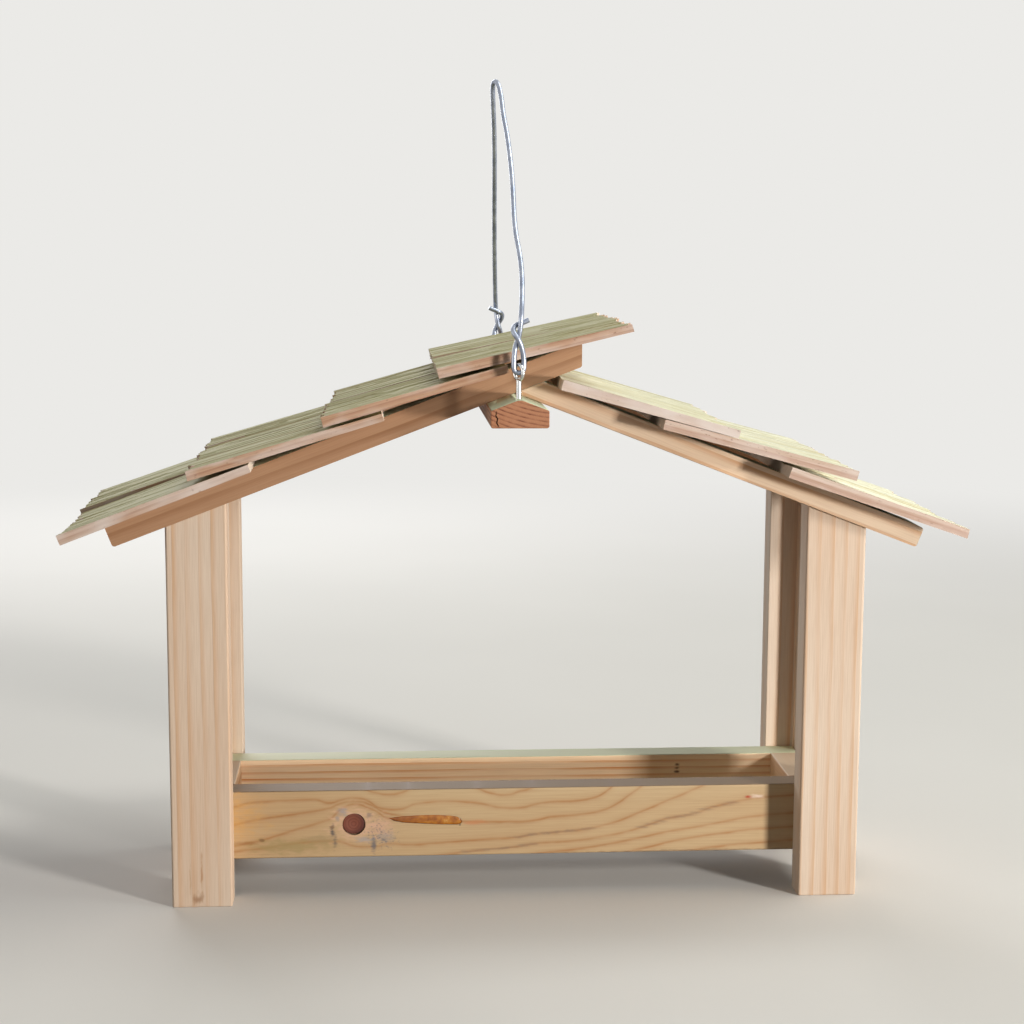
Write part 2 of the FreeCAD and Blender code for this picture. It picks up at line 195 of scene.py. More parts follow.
scene.world = bpy.data.worlds.new("studio")
scene.world.use_nodes = True
tree = scene.world.node_tree
tree.nodes.clear()
sky = add(tree, "ShaderNodeBackground", {"Color": linear("F4F4F2"), "Strength": SKY_LIGHT})
backdrop = add(tree, "ShaderNodeBackground", {"Color": linear(BACKDROP), "Strength": 1.0})
mixed = add(tree, "ShaderNodeMixShader", {0: plainly_seen(tree), 1: sky, 2: backdrop})
add(tree, "ShaderNodeOutputWorld", {"Surface": mixed})

for name, (place, (wide, tall), power, colour) in LAMPS.items():
    light = bpy.data.lights.new(name, "AREA")
    light.shape = "RECTANGLE"
    light.size, light.size_y = wide, tall
    light.energy = power
    light.color = linear(colour)[:3]
    lamp = bpy.data.objects.new(name, light)
    lamp.location = place
    lamp.rotation_euler = (LAMPS_AIM_AT - lamp.location).to_track_quat("-Z", "Y").to_euler()
    scene.collection.objects.link(lamp)
print("lamps:", ", ".join(LAMPS))

# %% [markdown]
# ## How a board carries its grain
#
# Wood is a solid pattern: growth rings round the heart of a log, cut through by each face of the
# board. Rings, arcs on the end grain and long flames on the faces all come from the same cylinder.
# A flat texture on each face would never meet at the edges. So each board stores, for every point,
# its place along, across and through the board, and one pine graph reads that. A second value marks
# the faces that cut across the fibres, and a third the ones that look at the sky.

# %% Grain, easing and placing
# A face counts as facing a direction when the cosine of the angle to it is over this
FACING = 0.7
MERGE = 0.001
FLAT, CORNER = math.radians(1), math.radians(40)
# In square millimetres; a smaller face is the wall of a nail hole
SMALLEST_FACE = 15.0


def lay_grain(mesh, along, across, shift):
    """Stores every point's place in the board's own axes, and marks end grain and upper faces."""
    along, across = Vector(along).normalized(), Vector(across).normalized()
    axes = np.array((along, across, along.cross(across)))
    points = np.empty(len(mesh.vertices) * 3)
    mesh.vertices.foreach_get("co", points)
    places = points.reshape(-1, 3) @ axes.T + np.array(shift) * MM
    mesh.attributes.new("grain", "FLOAT_VECTOR", "POINT").data.foreach_set("vector", places.ravel())
    normals = np.empty(len(mesh.polygons) * 3)
    mesh.polygons.foreach_get("normal", normals)
    normals = normals.reshape(-1, 3)
    mark_faces(mesh, "end_grain", np.abs(normals @ axes[0]) > FACING)
    mark_faces(mesh, "upper", normals[:, 2] > FACING)


def mark_faces(mesh, name, values):
    """Stores one value for each face."""
    spread = np.broadcast_to(values, len(mesh.polygons)).astype(np.float32)
    mesh.attributes.new(name, "FLOAT", "FACE").data.foreach_set("value", spread)


def eased_copy(node, ease):
    """A copy of a CAD board with its outer edges taken off, as sandpaper does. Nail holes stay."""
    board = bmesh.new()
    board.from_mesh(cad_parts[node].data)
    bmesh.ops.remove_doubles(board, verts=board.verts, dist=MERGE * MM)
    bmesh.ops.dissolve_limit(board, angle_limit=FLAT, verts=board.verts, edges=board.edges)
    edges = [e for e in board.edges
             if len(e.link_faces) == 2 and e.is_convex and e.calc_face_angle() > CORNER
             and min(f.calc_area() for f in e.link_faces) > SMALLEST_FACE * MM * MM]
    bmesh.ops.bevel(board, geom=edges, offset=ease * MM, segments=2, profile=0.5, affect="EDGES",
                    clamp_overlap=False)
    mesh = bpy.data.meshes.new(node)
    board.to_mesh(mesh)
    board.free()
    return mesh


def put(name, mesh, material, body, slot, *nodes):
    """Links a finished mesh, on its body, in place of the CAD nodes that it stands for."""
    mesh.materials.clear()
    mesh.materials.append(material)
    made = bpy.data.objects.new(name, mesh)
    scene.collection.objects.link(made)
    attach(made, body)
    if nodes:
        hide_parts(*nodes)


print("corners sharper than %.0f degrees are eased" % math.degrees(CORNER))

# %% [markdown]
# ## Planed pine
#
# All the sticks of the frame are planed softwood: a pale, soft early growth in each ring, then a thin
# band of hard orange-brown late growth with a sharp outer edge. The eye reads three scales of it:
# rings some millimetres apart, fibres under a millimetre wide, and slow changes of tone along the
# board. A Wave texture in rings round the X axis gives the first, with its coordinates squeezed along
# the grain so that the rings sway over a hand's breadth. Two stretched Noise textures give the rest.

# %% Rings and fibres
# A Wave texture of scale one has a wave every 2 pi / 20 metres
WAVE_TURN = 2 * math.pi / 20
# Late growth sets in slowly, holds and ends sharply
ONE_YEAR = [(0.0, "000000"), (0.5, "2A2A2A"), (0.86, "FFFFFF"), (0.95, "FFFFFF"), (1.0, "000000")]


def rings(ring, heart, sway):
    """Growth rings. ring is a year's growth in mm, heart the log's middle from the board in mm,
    sway how far the rings wander."""
    def grow(tree, grain):
        log = add(tree, "ShaderNodeMapping", {"Vector": grain, "Scale": (0.1, 1.0, 1.0),
                                              "Location": Vector((0, *heart)) * MM})
        years = add(tree, "ShaderNodeTexWave",
                    {"Vector": log, "Scale": WAVE_TURN / (ring * MM), "Distortion": sway, "Detail": 4.0,
                     "Detail Scale": 0.5, "Detail Roughness": 0.6},
                    wave_type="RINGS", rings_direction="X", wave_profile="SAW").outputs["Fac"]
        late = add(tree, "ShaderNodeValToRGB", {"Fac": years}, stops=ONE_YEAR)
        # Some years leave a stronger band than others
        luck = add(tree, "ShaderNodeTexNoise", {"Vector": log, "Scale": 0.6 / (ring * MM), "Detail": 1.0})
        strength = add(tree, "ShaderNodeMapRange",
                       {"Value": luck, "From Min": 0.3, "From Max": 0.7, "To Min": 0.25})
        return add(tree, "ShaderNodeMath", {0: late, 1: strength}, operation="MULTIPLY")
    return grow


def drawn_out(tree, grain, sizes, detail):
    """Noise in blots of these sizes, in mm along, across and through the board."""
    blots = add(tree, "ShaderNodeMapping", {"Vector": grain,
                                            "Scale": tuple(1 / (size * MM) for size in sizes)})
    return add(tree, "ShaderNodeTexNoise", {"Vector": blots, "Scale": 1.0, "Detail": detail})


print("late growth over a year:", [place for place, shade in ONE_YEAR])

# %% [markdown]
# One function makes every planed board's material, from its two tones and its rings. Bare planed pine
# has an index of refraction near 1.5 and a roughness of about 0.6, a little less on the hard bands.
# Marks such as bruises, specks and old dirt could be painted on a picture, but the part has no
# picture files. Each is a soft spot of another colour, by its distance in millimetres from a place on
# the board, and noise breaks up its edge.

# %% The pine graph and its stains
WOOD_IOR = 1.5
# Share of painted light or painted shade from above on the faces that look up
PAINTED_TOP_LIGHTING_SHARE = 0.8
# How far noise reaches into a spot, and where the spot starts and ends to fade, in its own radii
SOFT_SPOT, SPECKLED_SPOT = (1.4, 0.75, 1.6), (4.4, 1.6, 2.8)
FIBRE_BLOT, SPECK = (6.25, 2.381, 2.381), (1.4286, 1.0, 1.0)


def pine(name, pale, late, growth, stains=(), painted_top_lighting="CFE0C0"):
    """Planed pine. growth adds the bands of late growth to the graph, stains add spots of colour,
    and the last argument is the colour of painted light or painted shade on the faces that look at the sky."""
    material, tree = new_material(name)
    grain = add(tree, "ShaderNodeAttribute", attribute_name="grain").outputs["Vector"]
    band = growth(tree, grain)
    grown_wood = add(tree, "ShaderNodeMix", {FACTOR: band, UNDER: linear(pale), OVER: linear(late)},
                     **COLOURS)
    fibres = drawn_out(tree, grain, (25.0, 0.7143, 0.7143), 3.0)
    streak = add(tree, "ShaderNodeValToRGB", {"Fac": fibres}, stops=[(0.3, "DCCFC2"), (0.6, "FFFFFF")])
    fibred = add(tree, "ShaderNodeMix", {FACTOR: 0.3, UNDER: grown_wood, OVER: streak}, **TINTED)
    patches = drawn_out(tree, grain, (333.33, 62.5, 62.5), 2.0)
    warmth = add(tree, "ShaderNodeValToRGB", {"Fac": patches}, stops=[(0.35, "F0E0D2"), (0.65, "FFFFFF")])
    toned = add(tree, "ShaderNodeMix", {FACTOR: 0.7, UNDER: fibred, OVER: warmth}, **TINTED)
    # Fibres seen end on drink the light
    cut = add(tree, "ShaderNodeAttribute", attribute_name="end_grain").outputs["Fac"]
    sawn = add(tree, "ShaderNodeMix", {FACTOR: cut, UNDER: toned, OVER: linear("EBD6C6")}, **TINTED)
    # Painted light or painted shade from above, in the given colour, on the faces that look at the sky
    upper = add(tree, "ShaderNodeAttribute", attribute_name="upper").outputs["Fac"]
    painted_top_share = add(tree, "ShaderNodeMath", {0: upper, 1: PAINTED_TOP_LIGHTING_SHARE}, operation="MULTIPLY")
    colour = add(tree, "ShaderNodeMix", {FACTOR: painted_top_share, UNDER: sawn, OVER: linear(painted_top_lighting)}, **COLOURS)
    for stain in stains:
        colour = stain(tree, grain, colour)
    rough = add(tree, "ShaderNodeMapRange", {"Value": band, "To Min": 0.66, "To Max": 0.54})
    relief = add(tree, "ShaderNodeMath", {0: fibres, 1: band}, operation="ADD")
    bump = add(tree, "ShaderNodeBump", {"Height": relief, "Distance": 0.1 * MM, "Strength": 0.5})
    shader = add(tree, "ShaderNodeBsdfPrincipled",
                 {"Base Color": colour, "Roughness": rough, "IOR": WOOD_IOR, "Normal": bump})
    add(tree, "ShaderNodeOutputMaterial", {"Surface": shader})
    return material


def stain(x, z, half_x, half_z, colour, strength, grit=1.0, specks=False):
    """A soft spot of another colour, in mm along and across the board. The fibres break it up, the
    more finely the higher the grit, or with specks it falls into fine dots."""
    cover, inner, outer = SPECKLED_SPOT if specks else SOFT_SPOT
    blot_sizes = SPECK if specks else [size / grit for size in FIBRE_BLOT]

    def spread(tree, grain, under):
        off = add(tree, "ShaderNodeVectorMath", {0: grain, 1: (x * MM, z * MM, 0)}, operation="SUBTRACT")
        scaled = add(tree, "ShaderNodeVectorMath", {0: off, 1: (1 / (half_x * MM), 1 / (half_z * MM), 0)},
                     operation="MULTIPLY")
        away = add(tree, "ShaderNodeVectorMath", {0: scaled}, operation="LENGTH")
        blot = drawn_out(tree, grain, blot_sizes, 2.0)
        ragged = add(tree, "ShaderNodeMath", {0: blot, 1: cover, 2: away}, operation="MULTIPLY_ADD")
        amount = add(tree, "ShaderNodeMapRange", {"Value": ragged, "From Min": inner, "From Max": outer,
                                                  "To Min": strength, "To Max": 0.0},
                     interpolation_type="SMOOTHSTEP")
        return add(tree, "ShaderNodeMix", {FACTOR: amount, UNDER: under, OVER: linear(colour)}, **COLOURS)
    return spread


POST_STAINS = [stain(5, -203.5, 6, 5.5, "8F6440", 0.7), stain(22, -201.2, 17, 1.2, "A8764A", 0.7),
               stain(18, -208.4, 14, 1.0, "B58E68", 0.6)]
post_pine = pine("planed pine, pale", "D9C7B4", "D0AE8E", rings(8.0, (-70.0, 35.0), 3.0), POST_STAINS)
print("pine:", post_pine.name)

# %% [markdown]
# ## The four posts
#
# Each post is a batten rabbeted to an L that wraps a corner of the tray. Its shape is right in the
# frame, so a copy keeps it and only loses its sharp edges. The grain runs up the post, and each one
# is shifted sideways in the log so that no two are alike.

# %% Make the posts
EASE = 0.6
POSTS = ("front_left_post", "front_right_post", "back_left_post", "back_right_post")
for i, node in enumerate(POSTS):
    mesh = eased_copy(node, EASE)
    lay_grain(mesh, (0, 0, 1), (1, 0, 0), (310 * i, 11 * i, 6 * i))
    put(node + "_wood", mesh, post_pine, "house", "post_pine", node)
print("posts:", len(POSTS))

# %% [markdown]
# ## The tray
#
# Two long rails, two end rails and a floor board make the tray. They are cut from a darker, more
# yellow board than the posts. The back rail has close, straight rings and three small dark marks on
# its inside, and its pale tone is partly painted light, raised for the light that falls into the tray.
# The ends and the floor are plain, so they come here too. The front rail is the face of the whole
# object and gets a cell of its own.

# %% Make the back rail, the end rails and the floor
BACK_MARKS = [stain(516.8, z, 2.8, 1.5, "4A2F1E", 0.9) for z in (60.2, 62.7, 65.2)]
FLOOR_EASE = 0.4

# The back rail's pale tone is partly painted light, raised for the light that falls into the tray
rail_pine = pine("planed pine, honey", "FBE3C2", "DC9C62", rings(4.8, (70.0, 25.0), 3.0), BACK_MARKS)
back_mesh = eased_copy("back_rail", EASE)
lay_grain(back_mesh, (1, 0, 0), (0, 0, 1), (400, 3, 0))
put("back_rail_wood", back_mesh, rail_pine, "house", "rail_pine", "back_rail")
# Their tops get a pinkish painted light from above
end_pine = pine("planed pine, end rails", "E2C29E", "C08957", rings(8.5, (30.0, 60.0), 3.0),
                painted_top_lighting="D2BFA6")
for i, node in enumerate(("left_end_rail", "right_end_rail")):
    mesh = eased_copy(node, EASE)
    lay_grain(mesh, (0, 1, 0), (0, 0, 1), (900 + 300 * i, 5 + 9 * i, 4))
    put(node + "_wood", mesh, end_pine, "house", "rail_pine", node)
floor_pine = pine("planed pine, tray floor", "E0C4A0", "C39668", rings(7.0, (12.0, 80.0), 4.0))
floor_board = eased_copy("tray_floor", FLOOR_EASE)
lay_grain(floor_board, (1, 0, 0), (0, 1, 0), (0, 0, 0))
put("tray_floor_wood", floor_board, floor_pine, "house", "floor_pine", "tray_floor")
print("back rail, end rails and floor made")

# %% [markdown]
# ## The front rail's grain
#
# The front rail was sawn near a branch. Its lines of late growth part round the knot as water parts
# round a stone, and on the right they climb to the top edge, because there the face runs away from
# the heart of the log. No simple cylinder gives that, so the lines are drawn: each is a Float Curve of
# heights along the rail, and the colour follows the distance to the nearest one.

# %% Draw the lines of late growth
RAIL_HALF, RAIL_LOW, RAIL_TALL = 201.0, 25.0, 44.5
# How far a band's tint reaches from its line, and its shade over that distance
LINE_REACH = 6.0
LINE_SHADE = [(0.0, "F4F4F2"), (0.08, "D6D6D6"), (0.2, "8E8E8E"), (0.45, "505050"), (1.0, "000000")]
# How far a line strays from the drawn one, in mm
LINE_STRAY = 1.2
# Places along the rail and heights above the ground
FROM_THE_POCKET = ((-60.0, 49.2), (-30.2, 47.6), (-4.1, 47.1), (4.7, 47.0), (13.5, 48.0), (23.6, 50.0),
                   (36.2, 50.5), (46.3, 51.5), (56.4, 53.6), (64.6, 57.4), (72.1, 62.5), (80.3, 68.3),
                   (88.0, 75.0))
LATE_LINES = (
    # Two that dip in from the top edge
    ((-110.0, 76.0), (-98.8, 70.9), (-90.1, 67.4), (-82.7, 66.4), (-75.2, 67.3), (-68.3, 70.4),
     (-60.0, 75.0)),
    ((-36.0, 75.0), (-25.3, 69.7), (-15.2, 66.0), (-7.7, 64.8), (1.5, 67.0), (8.4, 68.7), (18.0, 73.0)),
    # Three that pass over the knot
    ((-201.0, 58.0), (-180.5, 60.0), (-169.4, 62.4), (-147.1, 63.2), (-129.8, 63.7), (-121.2, 61.5),
     (-113.7, 62.9), (-104.4, 64.3), (-96.3, 62.6), (-85.2, 56.8), (-76.5, 56.4), (-65.2, 59.7),
     (-50.3, 61.1), (-29.0, 60.4), (-4.1, 55.9), (3.4, 56.3), (12.2, 58.3), (23.5, 59.9), (38.7, 60.3),
     (50.0, 62.1), (56.3, 64.9), (61.9, 69.1), (66.0, 73.0)),
    ((-201.0, 45.0), (-180.7, 48.3), (-160.9, 52.0), (-134.9, 55.3), (-121.2, 57.6), (-112.5, 61.1),
     (-104.4, 62.2), (-95.1, 60.2), (-86.4, 55.1), (-79.0, 52.8)) + FROM_THE_POCKET,
    ((-201.0, 30.0), (-180.3, 33.9), (-164.2, 37.4), (-147.4, 42.4), (-128.7, 47.8), (-120.7, 50.3),
     (-116.3, 54.5), (-110.0, 58.7), (-103.8, 60.2), (-96.4, 58.0), (-88.9, 54.3), (-81.5, 50.3))
    + FROM_THE_POCKET,
    # Under the knot and up to the right
    ((-201.0, 28.0), (-159.9, 32.3), (-128.9, 35.9), (-115.2, 35.6), (-102.8, 31.9), (-90.3, 31.7),
     (-82.8, 33.5), (-70.3, 32.6), (-50.3, 33.6), (-22.7, 35.3), (-4.0, 36.1), (13.6, 38.4),
     (33.8, 40.0), (49.0, 41.7), (61.6, 44.7), (76.7, 50.3), (91.9, 56.6), (107.0, 62.8), (119.6, 68.2),
     (128.0, 73.0)),
    ((-60.0, 23.0), (-45.3, 25.7), (-22.7, 28.2), (-4.0, 29.6), (13.6, 32.0), (38.9, 33.4),
     (54.1, 35.5), (74.3, 39.5), (87.0, 43.6), (99.6, 47.6), (116.1, 50.3), (128.8, 54.8),
     (145.3, 58.3), (156.8, 60.1), (201.0, 63.0)),
    ((0.0, 22.5), (18.7, 25.7), (46.6, 28.7), (76.9, 34.0), (97.2, 38.2), (122.7, 42.1), (143.0, 45.9),
     (154.5, 47.7), (181.3, 49.9), (201.0, 51.5)),
    ((60.0, 21.0), (72.0, 24.7), (87.2, 28.6), (110.1, 33.4), (135.5, 36.9), (164.9, 39.7),
     (201.0, 41.0)),
    ((100.0, 22.5), (116.6, 25.7), (135.7, 28.3), (165.1, 30.5), (201.0, 32.5)))


def drawn_lines(tree, grain):
    """Bands of late growth along the drawn lines, thin and dark in the middle."""
    place = add(tree, "ShaderNodeSeparateXYZ", {0: grain}).outputs
    share = add(tree, "ShaderNodeMapRange", {"Value": place["X"], "From Min": -RAIL_HALF * MM,
                                             "From Max": RAIL_HALF * MM})
    loose = drawn_out(tree, grain, (14.286, 6.25, 6.25), 2.0)
    height = add(tree, "ShaderNodeMath", {0: loose, 1: LINE_STRAY * MM, 2: place["Y"]},
                 operation="MULTIPLY_ADD")
    nearest = None
    for line in LATE_LINES:
        drawn = add(tree, "ShaderNodeFloatCurve", {"Value": share})
        drawn.mapping.use_clip = False
        drawn.mapping.extend = "EXTRAPOLATED"
        at = [((x + RAIL_HALF) / (2 * RAIL_HALF), (z - RAIL_LOW) / RAIL_TALL) for x, z in line]
        points = drawn.mapping.curves[0].points
        points[0].location, points[1].location = at[0], at[-1]
        for one in at[1:-1]:
            points.new(*one)
        drawn.mapping.update()
        over = add(tree, "ShaderNodeMath", {0: drawn, 1: -RAIL_TALL * MM, 2: height},
                   operation="MULTIPLY_ADD")
        off = add(tree, "ShaderNodeMath", {0: over, 1: (RAIL_LOW + LINE_STRAY / 2) * MM},
                  operation="SUBTRACT")
        away = add(tree, "ShaderNodeMath", {0: off}, operation="ABSOLUTE")
        if nearest:
            away = add(tree, "ShaderNodeMath", {0: nearest, 1: away}, operation="MINIMUM")
        nearest = away
    reach = add(tree, "ShaderNodeMath", {0: nearest, 1: LINE_REACH * MM}, operation="DIVIDE")
    band = add(tree, "ShaderNodeValToRGB", {"Fac": reach}, stops=LINE_SHADE)
    luck = add(tree, "ShaderNodeMapRange",
               {"Value": loose, "From Min": 0.3, "From Max": 0.7, "To Min": 0.5})
    return add(tree, "ShaderNodeMath", {0: band, 1: luck}, operation="MULTIPLY")


print("lines:", len(LATE_LINES))

# %% [markdown]
# The front rail is also the most marked board: yellowed at its left end, reddish and bruised round
# the knot, and dirty along some of its lines. The marks are a table, and each row becomes one stain.

# %% Place the front rail's stains
# Each row: the middle along and across, half the length and width, colour, strength, grit, specks
KNOT_MARKS = (
    # Yellowed left end and its dull lower edge
    (-195, 52, 50, 26, "C99A58", 0.6),
    (-146, 33, 46, 8.0, "9C8758", 0.75),
    # Reddish wood round the knot
    (-105, 47, 22, 17, "D3A98D", 0.8),
    (-88, 45, 15, 12, "CDA288", 0.65),
    # Bruises and grey specks beside and under the knot
    (-119, 42.5, 2.3, 7.0, "4A4648", 0.9, 1.5),
    (-117.3, 36, 2.0, 7.0, "5E5450", 0.75, 1.5),
    (-119, 45, 3.0, 2.0, "8E6A4A", 0.7, 1.5),
    (-92.3, 33.5, 3.0, 8.5, "565860", 0.8, 1.6),
    (-85, 38, 9.0, 6.5, "8A888C", 0.45, 1.6),
    (-90, 43, 10, 11, "6A6462", 0.5, 1.0, True),
    (-85.5, 37, 12, 9, "5E5E64", 0.55, 1.0, True),
    (-98.5, 36.8, 9.0, 3.4, "97949A", 0.55, 1.6),
    (-112.2, 55.2, 5.5, 4.4, "8C8C94", 0.6, 1.6),
    (-115.5, 51, 2.2, 3.0, "8A8684", 0.6, 1.6),
    (-95, 52.8, 3.0, 3.4, "6A6260", 0.55, 1.6),
    # A dark drop under the resin's right end
    (-36.5, 45.4, 1.3, 1.1, "3A2A1C", 0.95),
    # A bud and its tail on the left, the dull wood beside the knot, and what seeped from the pocket
    (-164.2, 37.2, 2.6, 2.2, "7A5A38", 0.8),
    (-173.5, 35.4, 13, 2.0, "96683A", 0.7),
    (-126.4, 37.5, 16, 5.0, "9C865F", 0.6, 1.2),
    (-27, 46.9, 12, 2.4, "C08055", 0.7))
# A red bud with a pale tail near the right end, and the dirty lower edge
RIGHT_MARKS = (
    (151.6, 61.2, 4.6, 1.2, "A8401F", 1.0),
    (158.0, 61.4, 6.5, 1.8, "E8D2C4", 0.7),
    (110, 25.4, 120, 1.7, "7C6448", 0.6, 1.5))
# Dirt has settled along parts of two lines
DIRTY_RUNS = ((LATE_LINES[5], range(0, 54, 6)), (LATE_LINES[6], range(-32, 16, 6)),
              (LATE_LINES[6], range(82, 148, 6)))


def on_line(line, x):
    """Height of a drawn line at x."""
    return float(np.interp(x, *zip(*line)))


line_dirt = [(x, on_line(line, x), 8, 1.5, "86705A", 0.5) for line, run in DIRTY_RUNS for x in run]
front_stains = [stain(*mark) for mark in (*KNOT_MARKS, *line_dirt, *RIGHT_MARKS)]
# Its top gets a grey-brown painted shade, for the roof's shade over it
front_pine = pine("planed pine, knotty honey", "C0A57E", "A5723F", drawn_lines, front_stains, "7A6753")
print("stains:", len(front_stains))

# %% [markdown]
# ## Knot and resin pocket
#
# The knot is the branch itself, cut across: a dark red disc that has shrunk a little away from the
# board. Beside it the board has a slit full of hardened resin. Both could be painted on, but their
# edges catch the light and a side view would show the cheat. So the board is carved with a Boolean,
# and the knot and the resin are separate pieces that sit in the hollows.

# %% Carve the rail
FRONT_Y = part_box("front_rail")[0].y / MM
KNOT_X, KNOT_Z, KNOT_RADIUS, KNOT_DEPTH = -105.2, 47.1, 6.9, 3.0
KNOT_GAP = 0.45
POCKET_DEPTH = 1.6
# The resin pocket's outline: along the rail, upper edge, lower edge
POCKET = ((-82.6, 50.6, 50.4), (-79.0, 51.2, 48.6), (-73.0, 51.8, 47.4), (-64.6, 52.2, 46.8),
          (-57.3, 52.3, 46.3), (-50.1, 52.2, 45.9), (-42.8, 51.7, 45.7), (-38.6, 51.0, 45.6),
          (-36.2, 49.6, 46.0), (-35.2, 48.0, 47.0))
# How far a cutter stands out of the face that it cuts
CUTTER_OUT = 1.0


def around(count):
    """The angles of points spread evenly round a circle."""
    return [math.tau * k / count for k in range(count)]


def knot_point(radius, angle):
    """A point of the knot's uneven outline, from its middle."""
    uneven = 1 + 0.015 * math.sin(2 * angle + 1) + 0.006 * math.sin(5 * angle + 2)
    return radius * uneven * math.cos(angle), radius * uneven * math.sin(angle)


def cutter(outline, face_y, depth):
    """Closed block with an outline in x and z that cuts this deep into a front face, in mm."""
    form = bmesh.new()
    corners = [form.verts.new(Vector((x, face_y - CUTTER_OUT, z)) * MM) for x, z in outline]
    grown_on = bmesh.ops.extrude_face_region(form, geom=[form.faces.new(corners)])["geom"]
    bmesh.ops.translate(form, vec=Vector((0, depth + CUTTER_OUT, 0)) * MM,
                        verts=[v for v in grown_on if isinstance(v, bmesh.types.BMVert)])
    bmesh.ops.recalc_face_normals(form, faces=form.faces)
    mesh = bpy.data.meshes.new("cutter")
    form.to_mesh(mesh)
    form.free()
    return mesh


def evaluated(made):
    """The plain mesh that an object's modifiers or its curve give."""
    bpy.context.view_layer.update()
    return bpy.data.meshes.new_from_object(made.evaluated_get(bpy.context.evaluated_depsgraph_get()))


def carved(mesh, cutters):
    """The mesh with the cutters taken out of it."""
    helpers = [bpy.data.objects.new("carving", m) for m in [mesh] + cutters]
    for one in helpers:
        scene.collection.objects.link(one)
    for blade in helpers[1:]:
        modifier = helpers[0].modifiers.new("carve", "BOOLEAN")
        modifier.operation, modifier.solver, modifier.object = "DIFFERENCE", "EXACT", blade
    result = evaluated(helpers[0])
    for one in helpers:
        bpy.data.objects.remove(one)
    return result


hole_points = [knot_point(KNOT_RADIUS + KNOT_GAP, a) for a in around(48)]
knot_hole = [(KNOT_X + KNOT_GAP / 2 + x, KNOT_Z - KNOT_GAP / 2 + z) for x, z in hole_points]
pocket_hole = [(x, high) for x, high, low in POCKET] + [(x, low) for x, high, low in reversed(POCKET)]
front_mesh = carved(eased_copy("front_rail", EASE), [cutter(knot_hole, FRONT_Y, KNOT_DEPTH),
                                                     cutter(pocket_hole, FRONT_Y, POCKET_DEPTH)])
lay_grain(front_mesh, (1, 0, 0), (0, 0, 1), (0, 0, 0))
put("front_rail_wood", front_mesh, front_pine, "house", "rail_pine", "front_rail")
print("front rail faces:", len(front_mesh.polygons))

# %% Knot wood
# A branch's rings are about 2 mm apart; painted shade darkens the rim towards the lower right
knot_wood, tree = new_material("knot wood, branch cut across")
centred = add(tree, "ShaderNodeMapping", {"Vector": add(tree, "ShaderNodeTexCoord").outputs["Object"],
                                          "Location": Vector((-KNOT_X, -FRONT_Y, -KNOT_Z)) * MM})
years = add(tree, "ShaderNodeTexWave",
            {"Vector": centred, "Scale": WAVE_TURN / (1.9 * MM), "Distortion": 2.5, "Detail": 2.0,
             "Detail Scale": 0.4},
            wave_type="RINGS", rings_direction="Y", wave_profile="SAW").outputs["Fac"]
branch = add(tree, "ShaderNodeValToRGB", {"Fac": years},
             stops=[(0.0, "7E4532"), (0.55, "743E2D"), (0.9, "653223"), (1.0, "723D2B")])
# Painted shade on the knot's rim, darkest towards the lower right
shade_centre = add(tree, "ShaderNodeVectorMath", {0: centred, 1: Vector((1.6, 0, -1.2)) * MM},
                operation="ADD")
from_shade_centre = add(tree, "ShaderNodeVectorMath", {0: shade_centre}, operation="LENGTH")
rim_shade_share = add(tree, "ShaderNodeMapRange", {"Value": from_shade_centre, "From Min": 4.5 * MM, "From Max": 8.5 * MM})
painted_rim_shade = add(tree, "ShaderNodeMix", {FACTOR: rim_shade_share, UNDER: branch, OVER: linear("4A2018")}, **COLOURS)
ridge = add(tree, "ShaderNodeBump", {"Height": years, "Distance": 0.15 * MM})
shader = add(tree, "ShaderNodeBsdfPrincipled", {"Base Color": painted_rim_shade, "Roughness": 0.5, "IOR": WOOD_IOR,
                                                "Normal": ridge})
add(tree, "ShaderNodeOutputMaterial", {"Surface": shader})
print("knot:", knot_wood.name)

# %% Resin
# Hardened resin is amber with a wet shine and lumps of about 4 mm, darkest where it runs out thin
resin, tree = new_material("hardened pine resin")
in_pocket = add(tree, "ShaderNodeTexCoord").outputs["Object"]
lumps = add(tree, "ShaderNodeTexNoise", {"Vector": in_pocket, "Scale": 260.0, "Detail": 3.0})
amber = add(tree, "ShaderNodeValToRGB", {"Fac": lumps},
            stops=[(0.3, "82460F"), (0.48, "A96418"), (0.64, "BB7A27"), (0.8, "D6AE67")])
along_rail = add(tree, "ShaderNodeSeparateXYZ", {0: in_pocket}).outputs["X"]
thin_end = add(tree, "ShaderNodeMapRange", {"Value": along_rail, "From Min": -80.0 * MM,
                                            "From Max": -58.0 * MM, "To Min": 0.8, "To Max": 0.0})
deep_amber = add(tree, "ShaderNodeMix", {FACTOR: thin_end, UNDER: amber, OVER: linear("7A3C10")},
                 **COLOURS)
skin = add(tree, "ShaderNodeBump", {"Height": lumps, "Distance": 0.3 * MM, "Strength": 0.7})
shader = add(tree, "ShaderNodeBsdfPrincipled", {"Base Color": deep_amber, "Roughness": 0.16, "IOR": 1.54,
                                                "Coat Weight": 0.5, "Coat Roughness": 0.05, "Normal": skin})
add(tree, "ShaderNodeOutputMaterial", {"Surface": shader})
print("resin:", resin.name)

# %% Fill the hollows
# The knot's outline, as depth behind the rail's face and share of its radius, then its ringed face
KNOT_STEPS = [(KNOT_DEPTH, 0.96), (0.9, 0.99), (0.5, 0.97), (0.4, 0.92)]
KNOT_STEPS += [(0.38 - 0.05 * (k % 2), 0.84 - 0.08 * k) for k in range(10)]
RESIN_DEPTH, RESIN_SWELL, RESIN_WAVES = 0.75, 0.5, 0.15
RESIN_GAP = 0.05


